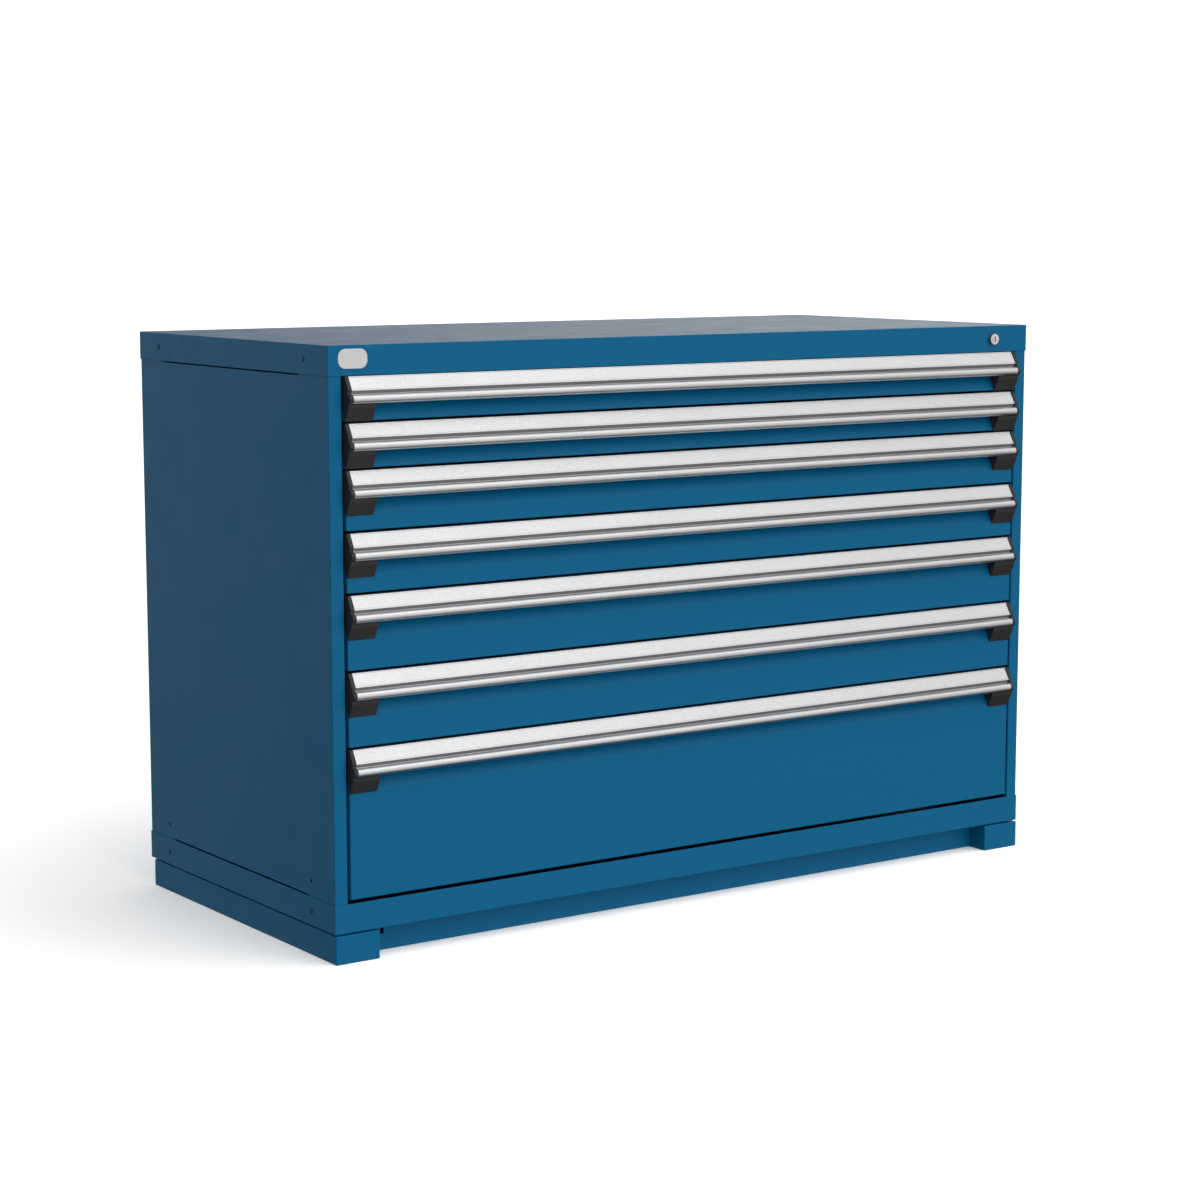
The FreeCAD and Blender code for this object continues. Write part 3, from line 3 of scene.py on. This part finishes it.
import bpy
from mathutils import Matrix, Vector

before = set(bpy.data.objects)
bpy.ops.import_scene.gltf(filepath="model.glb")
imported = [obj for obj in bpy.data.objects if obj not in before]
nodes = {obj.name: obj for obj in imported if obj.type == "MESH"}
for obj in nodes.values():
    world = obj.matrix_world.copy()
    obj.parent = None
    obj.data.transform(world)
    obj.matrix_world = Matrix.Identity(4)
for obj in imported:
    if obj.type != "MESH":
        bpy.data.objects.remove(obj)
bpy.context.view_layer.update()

scene = bpy.context.scene

# ---------------------------------------------------------------- node helpers


class Graph:
    """A small builder for a node tree."""

    def __init__(self, tree):
        self.tree = tree
        self.nodes, self.links = tree.nodes, tree.links

    def add(self, kind, **settings):
        node = self.nodes.new(kind)
        for name, value in settings.items():
            setattr(node, name, value)
        return node

    def put(self, socket, value):
        if isinstance(value, bpy.types.NodeSocket):
            self.links.new(value, socket)
        else:
            socket.default_value = value

    def math(self, operation, a, b=0.0, c=0.0, clamp=False):
        node = self.add("ShaderNodeMath", operation=operation, use_clamp=clamp)
        for socket, value in zip(node.inputs, (a, b, c)):
            self.put(socket, value)
        return node.outputs[0]

    def vector(self, operation, a, b=None, scale=None):
        node = self.add("ShaderNodeVectorMath", operation=operation)
        self.put(node.inputs[0], a)
        if b is not None:
            self.put(node.inputs[1], b)
        if scale is not None:
            self.put(node.inputs["Scale"], scale)
        return node.outputs["Value"] if operation in ("DOT_PRODUCT", "LENGTH", "DISTANCE") else node.outputs[0]

    def ramp(self, value, low, high, to_low=0.0, to_high=1.0, smooth=False):
        node = self.add("ShaderNodeMapRange", clamp=True)
        if smooth:
            node.interpolation_type = "SMOOTHSTEP"
        self.put(node.inputs["Value"], value)
        for name, number in (("From Min", low), ("From Max", high), ("To Min", to_low), ("To Max", to_high)):
            self.put(node.inputs[name], number)
        return node.outputs[0]

    def mix(self, factor, a, b, blend="MIX"):
        node = self.add("ShaderNodeMix", data_type="RGBA", blend_type=blend)
        self.put(node.inputs[0], factor)
        self.put(node.inputs[6], a)
        self.put(node.inputs[7], b)
        return node.outputs[2]

    def noise(self, where, scale, detail=2.0, roughness=0.5, distortion=0.0):
        node = self.add("ShaderNodeTexNoise")
        self.put(node.inputs["Vector"], where)
        for name, value in (("Scale", scale), ("Detail", detail), ("Roughness", roughness), ("Distortion", distortion)):
            self.put(node.inputs[name], value)
        return node.outputs["Fac"]

    def voronoi(self, where, scale, feature="F1", output="Distance"):
        node = self.add("ShaderNodeTexVoronoi", feature=feature)
        self.put(node.inputs["Vector"], where)
        self.put(node.inputs["Scale"], scale)
        return node.outputs[output]

    def stretched(self, where, scale, turn=(0.0, 0.0, 0.0)):
        node = self.add("ShaderNodeMapping")
        self.put(node.inputs["Vector"], where)
        node.inputs["Scale"].default_value = scale
        node.inputs["Rotation"].default_value = turn
        return node.outputs[0]

    def bump(self, height, distance, strength=1.0, normal=None):
        node = self.add("ShaderNodeBump")
        self.put(node.inputs["Height"], height)
        self.put(node.inputs["Distance"], distance)
        self.put(node.inputs["Strength"], strength)
        if normal is not None:
            self.put(node.inputs["Normal"], normal)
        return node.outputs[0]


def rgb(r, g, b):
    return (r, g, b, 1.0)


def start(name, **constants):
    """A new material with a Principled shader, its constants set on the shader's own sockets."""
    material = bpy.data.materials.new(name)
    material.use_nodes = True
    graph = Graph(material.node_tree)
    shader = next(n for n in graph.nodes if n.type == "BSDF_PRINCIPLED")
    for key, value in constants.items():
        shader.inputs[key.replace("_", " ")].default_value = value
    place = graph.add("ShaderNodeTexCoord").outputs["Object"]
    return material, graph, shader, place


def edge_mask(graph, radius, low=0.02, high=0.25):
    """1 on edges and 0 on faces, and the normal rounded over the same width."""
    bevel = graph.add("ShaderNodeBevel", samples=4)
    bevel.inputs["Radius"].default_value = radius
    flat = graph.add("ShaderNodeNewGeometry").outputs["Normal"]
    dot = graph.vector("DOT_PRODUCT", bevel.outputs[0], flat)
    return graph.ramp(graph.math("SUBTRACT", 1.0, dot), low, high), bevel.outputs[0]


# ---------------------------------------------------------------- materials


def screw_shade_rings(g, place, inner, outer, soft):
    """1 in a ring round each of the four side screws, where shade is painted: the dark ring stands for the shadow of a
    recess round each screw head.
    """
    part = g.add("ShaderNodeSeparateXYZ")
    g.put(part.inputs[0], place)
    y, z = part.outputs["Y"], part.outputs["Z"]
    dy = g.math("MINIMUM", g.math("ABSOLUTE", g.math("ADD", y, 0.25255)), g.math("ABSOLUTE", g.math("SUBTRACT", y, 0.27575)))
    dz = g.math("MINIMUM", g.math("ABSOLUTE", g.math("SUBTRACT", z, 0.9914)), g.math("ABSOLUTE", g.math("SUBTRACT", z, 0.0751)))
    away = g.math("SQRT", g.math("ADD", g.math("MULTIPLY", dy, dy), g.math("MULTIPLY", dz, dz)))
    rise = g.ramp(away, inner - soft, inner + soft, smooth=True)
    fall = g.ramp(away, outer - soft, outer + soft, 1.0, 0.0, smooth=True)
    return g.math("MULTIPLY", rise, fall)


def powder_coat(name, colour, rough=0.40, peel=1.0, specular=0.14, wear=True, dimples=False, rings=None, top_shade=0.0):
    """Satin powder coat: fine orange peel, slight uneven gloss, and edges polished lighter by handling."""
    material, g, shader, place = start(name, Specular_IOR_Level=specular)
    r, gr, b = colour
    broad = g.noise(place, 2.3, 3.0, 0.55)
    tone = g.mix(broad, rgb(r * 0.95, gr * 0.965, b * 0.97), rgb(r * 1.05, gr * 1.035, b * 1.03))
    speck = g.ramp(g.noise(place, 1500.0, 1.0, 0.5), 0.30, 0.70)
    tone = g.mix(speck, tone, g.mix(1.0, tone, rgb(0.90, 0.92, 0.93), "MULTIPLY"))
    edge, rounded = edge_mask(g, 0.0011)
    if wear:
        patchy = g.ramp(g.noise(place, 55.0, 4.0, 0.65), 0.42, 0.72)
        worn = g.math("MULTIPLY", edge, g.math("MULTIPLY", patchy, 0.45))
        tone = g.mix(worn, tone, rgb(min(r * 3 + 0.05, 1), min(gr * 1.5 + 0.03, 1), min(b * 1.35 + 0.03, 1)))
    if rings:
        # painted shade: a near-black ring round each side screw, on the lips and on the screw heads
        tone = g.mix(g.math("MULTIPLY", screw_shade_rings(g, place, *rings), 0.72), tone, rgb(0.001, 0.018, 0.036))
    # painted shade: upward faces are mixed, with noise, toward a dull dark grey-blue, darkening and greying the top for
    # how the light falls on it
    if top_shade:
        level = g.add("ShaderNodeSeparateXYZ")
        g.put(level.inputs[0], g.add("ShaderNodeNewGeometry").outputs["Normal"])
        painted_top_shade = g.math("MULTIPLY", g.ramp(level.outputs["Z"], 0.90, 0.99), g.ramp(g.noise(place, 6.0, 4.0, 0.6), 0.30, 0.70, top_shade - 0.06, top_shade + 0.06))
        tone = g.mix(painted_top_shade, tone, rgb(0.030, 0.040, 0.048))
    g.put(shader.inputs["Base Color"], tone)
    gloss = g.noise(place, 14.0, 4.0, 0.6)
    fine = g.noise(place, 700.0, 2.0, 0.5)
    g.put(shader.inputs["Roughness"], g.math("ADD", g.ramp(gloss, 0.3, 0.7, rough - 0.03, rough + 0.04),
                                             g.ramp(fine, 0.2, 0.8, -0.02, 0.02)))
    height = g.math("ADD", g.math("MULTIPLY", g.noise(place, 420.0, 1.5, 0.5), 0.75), g.math("MULTIPLY", g.noise(place, 1600.0, 1.0, 0.5), 0.25))
    normal = g.bump(height, 0.00005 * peel, 1.0, rounded)
    if dimples:
        normal = g.bump(weld_marks(g, place), 0.0004, 1.0, normal)
    g.put(shader.inputs["Normal"], normal)
    return material


def weld_marks(g, place):
    """The faint spot-weld marks low on a side panel, over the mid stiffener."""
    part = g.add("ShaderNodeSeparateXYZ")
    g.put(part.inputs[0], place)
    y, z = part.outputs["Y"], part.outputs["Z"]
    marks = None
    for my, heights in ((0.0465, (0.2888, 0.2448, 0.1878, 0.1458)), (-0.0266, (0.2888, 0.2408, 0.1888, 0.1373))):
        for mz in heights:
            dy, dz = g.math("SUBTRACT", y, my), g.math("SUBTRACT", z, mz)
            away = g.math("SQRT", g.math("ADD", g.math("MULTIPLY", dy, dy), g.math("MULTIPLY", dz, dz)))
            mark = g.ramp(away, 0.0012, 0.0036, -1.0, 0.0, smooth=True)
            marks = mark if marks is None else g.math("ADD", marks, mark)
    return marks


def groove_shade_band(g, place, half, soft):
    """1 in the groove between a handle's sloped face and its nose, where shade is painted: the groove is darkened as if
    the sloped face shaded it.
    """
    part = g.add("ShaderNodeSeparateXYZ")
    g.put(part.inputs[0], place)
    z, band = part.outputs["Z"], None
    for middle in (0.9403, 0.8641, 0.7879, 0.6863, 0.5847, 0.4577, 0.3307):
        away = g.math("ABSOLUTE", g.math("SUBTRACT", z, middle))
        band = away if band is None else g.math("MINIMUM", band, away)
    return g.ramp(band, half - soft, half + soft, 1.0, 0.0, smooth=True)


def aluminium(name, colour, rough, speckle, lines, metallic=1.0, groove_shade=0.0):
    """Extruded, bead-blasted and anodised aluminium: fine die lines along the length and a fine grain."""
    material, g, shader, place = start(name, Metallic=metallic)
    r, gr, b = colour
    along = g.noise(g.stretched(place, (6.0, 1400.0, 1400.0)), 1.0, 3.0, 0.6)
    grain = g.noise(place, 560.0, 2.0, 0.65)
    grit = g.voronoi(place, 900.0)
    spot = g.math("ADD", g.math("MULTIPLY", grain, 0.65), g.math("MULTIPLY", grit, 0.35))
    tone = g.mix(g.ramp(spot, 0.30, 0.62), rgb(r * (1 - speckle), gr * (1 - speckle), b * (1 - speckle)), rgb(r, gr, b))
    edge, rounded = edge_mask(g, 0.0007)
    tone = g.mix(g.math("MULTIPLY", edge, 0.35), tone, rgb(min(r * 1.12, 1), min(gr * 1.12, 1), min(b * 1.12, 1)))
    # painted shade: the groove of each handle is mixed toward dark grey
    if groove_shade:
        tone = g.mix(g.math("MULTIPLY", groove_shade_band(g, place, 0.0027, 0.0004), groove_shade), tone, rgb(0.10, 0.10, 0.105))
    g.put(shader.inputs["Base Color"], tone)
    smear = g.noise(place, 9.0, 4.0, 0.6)
    g.put(shader.inputs["Roughness"], g.math("ADD", g.ramp(smear, 0.3, 0.7, rough - 0.02, rough + 0.03), g.ramp(spot, 0.3, 0.6, 0.03, -0.03)))
    normal = g.bump(along, 0.00002 * lines, 1.0, rounded)
    g.put(shader.inputs["Normal"], g.bump(spot, 0.00004, 0.8, normal))
    return material


def moulded(name, colour, rough, grain=1.0, specular=0.4):
    """Moulded plastic with a spark-eroded grain, rubbed a little smoother and lighter on its edges."""
    material, g, shader, place = start(name, Specular_IOR_Level=specular)
    r, gr, b = colour
    leather = g.voronoi(place, 1100.0)
    soft = g.noise(place, 600.0, 3.0, 0.6)
    tone = g.mix(g.ramp(soft, 0.3, 0.7), rgb(r * 0.85, gr * 0.85, b * 0.85), rgb(r * 1.15, gr * 1.15, b * 1.15))
    edge, rounded = edge_mask(g, 0.0006)
    tone = g.mix(g.math("MULTIPLY", edge, 0.4), tone, rgb(r + 0.03, gr + 0.03, b + 0.03))
    g.put(shader.inputs["Base Color"], tone)
    g.put(shader.inputs["Roughness"], g.math("SUBTRACT", g.ramp(g.noise(place, 30.0, 3.0, 0.6), 0.3, 0.7, rough - 0.04, rough + 0.05), g.math("MULTIPLY", edge, 0.08)))
    g.put(shader.inputs["Normal"], g.bump(leather, 0.00005 * grain, 0.7, g.bump(soft, 0.00003 * grain, 1.0, rounded)))
    return material


def zinc(name, colour, rough, spangle, rubbed=0.0):
    """Zinc plate or galvanising: crystal patches, drawn lines and small scratches."""
    material, g, shader, place = start(name, Metallic=0.95)
    r, gr, b = colour
    flakes = g.voronoi(g.vector("ADD", place, g.vector("SCALE", place, scale=0.0)), 90.0, "F1", "Color")
    patch = g.add("ShaderNodeSeparateColor")
    g.put(patch.inputs[0], flakes)
    dull = g.noise(place, 11.0, 5.0, 0.6)
    tone = g.mix(g.math("MULTIPLY", patch.outputs[0], spangle), rgb(r, gr, b), rgb(r * 0.78, gr * 0.80, b * 0.83))
    tone = g.mix(g.ramp(dull, 0.45, 0.75, 0.0, 0.35), tone, rgb(r * 0.70, gr * 0.70, b * 0.69))
    scratch = g.noise(g.stretched(place, (900.0, 14.0, 900.0)), 1.0, 2.0, 0.6)
    edge, rounded = edge_mask(g, 0.0006)
    tone = g.mix(g.math("MULTIPLY", edge, 0.4), tone, rgb(min(r * 1.2, 1), min(gr * 1.2, 1), min(b * 1.2, 1)))
    g.put(shader.inputs["Base Color"], tone)
    g.put(shader.inputs["Roughness"], g.math("ADD", g.ramp(patch.outputs[1], 0.0, 1.0, rough - 0.06, rough + 0.08), g.ramp(scratch, 0.5, 0.8, 0.0, -0.10 * rubbed)))
    g.put(shader.inputs["Normal"], g.bump(scratch, 0.00002, 0.6, g.bump(dull, 0.0001, 0.3, rounded)))
    return material


def turned_nickel(name, colour, rough):
    """Nickel plate over turned brass: rings round the lock's axis."""
    material, g, shader, place = start(name, Metallic=0.20)
    r, gr, b = colour
    part = g.add("ShaderNodeSeparateXYZ")
    g.put(part.inputs[0], place)
    dx, dz = g.math("SUBTRACT", part.outputs["X"], 0.675), g.math("SUBTRACT", part.outputs["Z"], 0.9907)
    away = g.math("SQRT", g.math("ADD", g.math("MULTIPLY", dx, dx), g.math("MULTIPLY", dz, dz)))
    ring = g.add("ShaderNodeCombineXYZ")
    g.put(ring.inputs[0], g.math("MULTIPLY", away, 3500.0))
    rings = g.noise(ring.outputs[0], 1.0, 2.0, 0.6)
    smear = g.noise(place, 160.0, 3.0, 0.6)
    edge, rounded = edge_mask(g, 0.0004)
    tone = g.mix(g.ramp(smear, 0.3, 0.7), rgb(r * 0.9, gr * 0.89, b * 0.87), rgb(r, gr, b))
    tone = g.mix(g.math("MULTIPLY", edge, 0.5), tone, rgb(min(r * 1.15, 1), min(gr * 1.15, 1), min(b * 1.15, 1)))
    # painted shade: the keyway, the fine gap round the plug and the rim of the collar are painted near black where they
    # lie in shade
    slot = g.math("MULTIPLY", g.ramp(g.math("ABSOLUTE", dx), 0.0013, 0.0016, 1.0, 0.0), g.ramp(g.math("ABSOLUTE", dz), 0.0041, 0.0044, 1.0, 0.0))
    seam = g.ramp(g.math("ABSOLUTE", g.math("SUBTRACT", away, 0.0063)), 0.00015, 0.0004, 0.75, 0.0)
    rim = g.ramp(away, 0.0096, 0.0102, 0.0, 0.88)
    tone = g.mix(g.math("MAXIMUM", rim, g.math("MAXIMUM", slot, seam)), tone, rgb(0.012, 0.014, 0.016))
    g.put(shader.inputs["Base Color"], tone)
    g.put(shader.inputs["Roughness"], g.ramp(rings, 0.3, 0.7, rough - 0.05, rough + 0.08))
    g.put(shader.inputs["Normal"], g.bump(rings, 0.00001, 0.8, rounded))
    return material


BLUE = (0.0010, 0.162, 0.348)
# rings paint a ring of shade round each side screw, on the lips and on the screw heads
housing = powder_coat("housing_powder_coat", BLUE, rings=(0.0040, 0.0056, 0.0007))
# the top panel also gets painted shade on its upward faces, darkened and greyed
top_coat = powder_coat("top_powder_coat", BLUE, rings=(0.0040, 0.0056, 0.0007), top_shade=0.50)
sides = powder_coat("side_powder_coat", BLUE, dimples=True)
fronts = powder_coat("front_powder_coat", BLUE, rough=0.38)
base = powder_coat("base_powder_coat", BLUE, rough=0.42)
screws = powder_coat("screw_powder_coat", (0.0010, 0.150, 0.32), rough=0.36, wear=False, rings=(0.0028, 0.0060, 0.0006))
tray_coat = powder_coat("tray_powder_coat", (0.52, 0.54, 0.56), rough=0.46, specular=0.4)
handle_metal = aluminium("handle_anodised", (0.93, 0.932, 0.94), 0.38, 0.20, 1.0, groove_shade=0.85)
strip_metal = aluminium("strip_fine_grain", (0.95, 0.952, 0.96), 0.46, 0.22, 0.5)
black = moulded("cap_black_plastic", (0.036, 0.036, 0.037), 0.48)
guide_black = moulded("guide_black_plastic", (0.03, 0.03, 0.03), 0.42)
slides = zinc("slide_zinc_plate", (0.66, 0.68, 0.70), 0.34, 0.35, 1.0)
lock_zinc = zinc("lock_zinc_plate", (0.60, 0.61, 0.62), 0.36, 0.3)
nickel = turned_nickel("lock_nickel", (0.95, 0.945, 0.93), 0.30)
blank = moulded("plate_white_enamel", (0.80, 0.80, 0.79), 0.30, grain=0.3, specular=0.5)

looks = {
    "top_panel": top_coat, "bottom_panel": housing, "rear_panel": housing,
    "left_side_panel": sides, "right_side_panel": sides,
    "uprights": housing, "cabinet_rails": slides,
    "base_left_leg": base, "base_right_leg": base, "base_front_cover": base, "base_rear_cover": base,
    "housing_bolts": screws, "lock_housing": nickel, "lock_plug": nickel,
    "lock_cam": lock_zinc, "lock_bar": lock_zinc, "lock_bar_guides": guide_black,
    "name_plate": blank,
}
for n in range(1, 8):
    looks["drawer_%d_tray" % n] = tray_coat
    looks["drawer_%d_front" % n] = fronts
    looks["drawer_%d_handle" % n] = handle_metal
    looks["drawer_%d_handle_caps" % n] = black
    looks["drawer_%d_label_strip" % n] = strip_metal
    looks["drawer_%d_carriages" % n] = slides
for name, obj in nodes.items():
    for slot in obj.material_slots:
        slot.material = looks[name]

# ---------------------------------------------------------------- stage


def floor_material():
    material, g, shader, place = start("pale_floor", Roughness=0.9, Specular_IOR_Level=0.1)
    tone = g.mix(g.noise(place, 0.8, 3.0, 0.5), rgb(0.955, 0.955, 0.955), rgb(0.97, 0.97, 0.97))
    part = g.add("ShaderNodeSeparateXYZ")
    g.put(part.inputs[0], place)
    # painted shade: under the cabinet's footprint the floor is near black and gives no glow
    beside = g.ramp(g.math("ABSOLUTE", part.outputs["X"]), 0.680, 0.690)
    before = g.ramp(g.math("ABSOLUTE", g.math("SUBTRACT", part.outputs["Y"], 0.0031)), 0.285, 0.292)
    outside = g.math("MAXIMUM", beside, before)
    g.put(shader.inputs["Base Color"], g.mix(outside, rgb(0.03, 0.03, 0.03), tone))
    shader.inputs["Emission Color"].default_value = rgb(1.0, 1.0, 1.0)
    g.put(shader.inputs["Emission Strength"], g.math("MULTIPLY", outside, 0.205))
    return material


mesh = bpy.data.meshes.new("floor")
size = 120.0
mesh.from_pydata([(-size, -size, 0), (size, -size, 0), (size, size, 0), (-size, size, 0)], [], [(0, 1, 2, 3)])
floor = bpy.data.objects.new("floor", mesh)
scene.collection.objects.link(floor)
floor.data.materials.append(floor_material())
floor.visible_glossy = False
floor.visible_diffuse = False

# soft lamps that reach the floor only; the cabinet shades them
lit = bpy.data.collections.new("lit_floor")
lit.objects.link(floor)
for name, away, strength, width in (("floor_lamp_right", (0.58, -0.62, 0.56), 1.80, 85.0), ("floor_lamp_top", (0.10, -0.10, 1.0), 0.45, 140.0)):
    lamp_data = bpy.data.lights.new(name, "SUN")
    lamp_data.energy, lamp_data.angle = strength, math.radians(width)
    lamp = bpy.data.objects.new(name, lamp_data)
    scene.collection.objects.link(lamp)
    lamp.rotation_mode = "QUATERNION"
    lamp.rotation_quaternion = Vector(away).to_track_quat("Z", "Y")
    lamp.light_linking.receiver_collection = lit

# soft studio surroundings: one even level for the background, one set of broad lights for the
# matt surfaces and one for what the glossy surfaces mirror
world = bpy.data.worlds.new("studio")
scene.world = world
world.use_nodes = True
w = Graph(world.node_tree)
for n in list(w.nodes):
    w.nodes.remove(n)
out = w.add("ShaderNodeOutputWorld")
towards = w.add("ShaderNodeTexCoord").outputs["Generated"]


def surround(level, lobes):
    """The level of light from each direction: an even level plus broad soft lobes."""
    total = level
    for x, y, z, begin, end, strength in lobes:
        facing = w.vector("DOT_PRODUCT", towards, tuple(Vector((x, y, z)).normalized()))
        total = w.math("ADD", total, w.ramp(facing, begin, end, 0.0, strength, smooth=True))
    background = w.add("ShaderNodeBackground")
    background.inputs["Color"].default_value = rgb(1.0, 1.0, 1.0)
    w.put(background.inputs["Strength"], total)
    return background.outputs[0]


matt = surround(0.000, [
    (0.000, -0.750, 0.660, 0.00, 1.0, 0.930),
    (0.700, -0.700, 0.000, 0.00, 1.0, 0.310),
    (0.000, 0.000, 1.000, 0.00, 1.0, 0.040),
    (0.000, 0.000, -1.000, 0.00, 1.0, 0.120),
    (-1.000, 0.000, 0.000, 0.00, 1.0, 0.050),
    (0.420, 0.900, 0.100, 0.45, 1.0, 0.950),
])
mirrored = surround(0.000, [
    (0.350, -0.905, -0.242, 0.70, 1.0, 0.539),
    (0.350, -0.905, 0.242, 0.70, 1.0, 0.235),
    (0.350, -0.602, 0.718, 0.70, 1.0, 0.715),
    (0.350, -0.000, 0.937, 0.70, 1.0, 0.402),
    (0.000, -0.620, 0.780, 0.70, 1.0, 0.560),
    (0.350, 0.933, 0.082, 0.70, 1.0, 0.206),
    (0.850, 0.372, 0.372, 0.70, 1.0, 0.473),
    (0.850, 0.525, 0.046, 0.70, 1.0, 1.080),
    (-0.560, -0.520, 0.640, 0.75, 1.0, 0.850),
    (-0.560, -0.820, -0.050, 0.75, 1.0, 0.450),
    (-0.450, 0.800, 0.350, 0.70, 1.0, 0.514),
    (-0.500, 0.850, 0.000, 0.70, 1.0, 0.268),
    (-0.450, 0.800, -0.350, 0.70, 1.0, 0.074),
])
seen = w.add("ShaderNodeBackground")
seen.inputs["Color"].default_value = rgb(1.0, 1.0, 1.0)
path = w.add("ShaderNodeLightPath")
choose = w.add("ShaderNodeMixShader")
w.put(choose.inputs[0], path.outputs["Is Glossy Ray"])
w.links.new(matt, choose.inputs[1])
w.links.new(mirrored, choose.inputs[2])
last = w.add("ShaderNodeMixShader")
w.put(last.inputs[0], path.outputs["Is Camera Ray"])
w.links.new(choose.outputs[0], last.inputs[1])
w.links.new(seen.outputs[0], last.inputs[2])
w.links.new(last.outputs[0], out.inputs["Surface"])
world.cycles.sampling_method = "NONE"

# ---------------------------------------------------------------- camera

azimuth, elevation = math.radians(-34.9688), math.radians(7.95377)
back = Vector((math.sin(azimuth) * math.cos(elevation), -math.cos(azimuth) * math.cos(elevation), math.sin(elevation)))
camera_data = bpy.data.cameras.new("camera")
camera_data.lens = 81.62
camera_data.sensor_width = 36.0
camera_data.clip_start, camera_data.clip_end = 0.05, 400.0
camera = bpy.data.objects.new("camera", camera_data)
scene.collection.objects.link(camera)
camera.location = (-2.89572, -4.14206, 1.21421)
camera.rotation_mode = "QUATERNION"
camera.rotation_quaternion = (-back).to_track_quat("-Z", "Y")
scene.camera = camera
scene.view_settings.view_transform = "Standard"
scene.view_settings.look = "None"
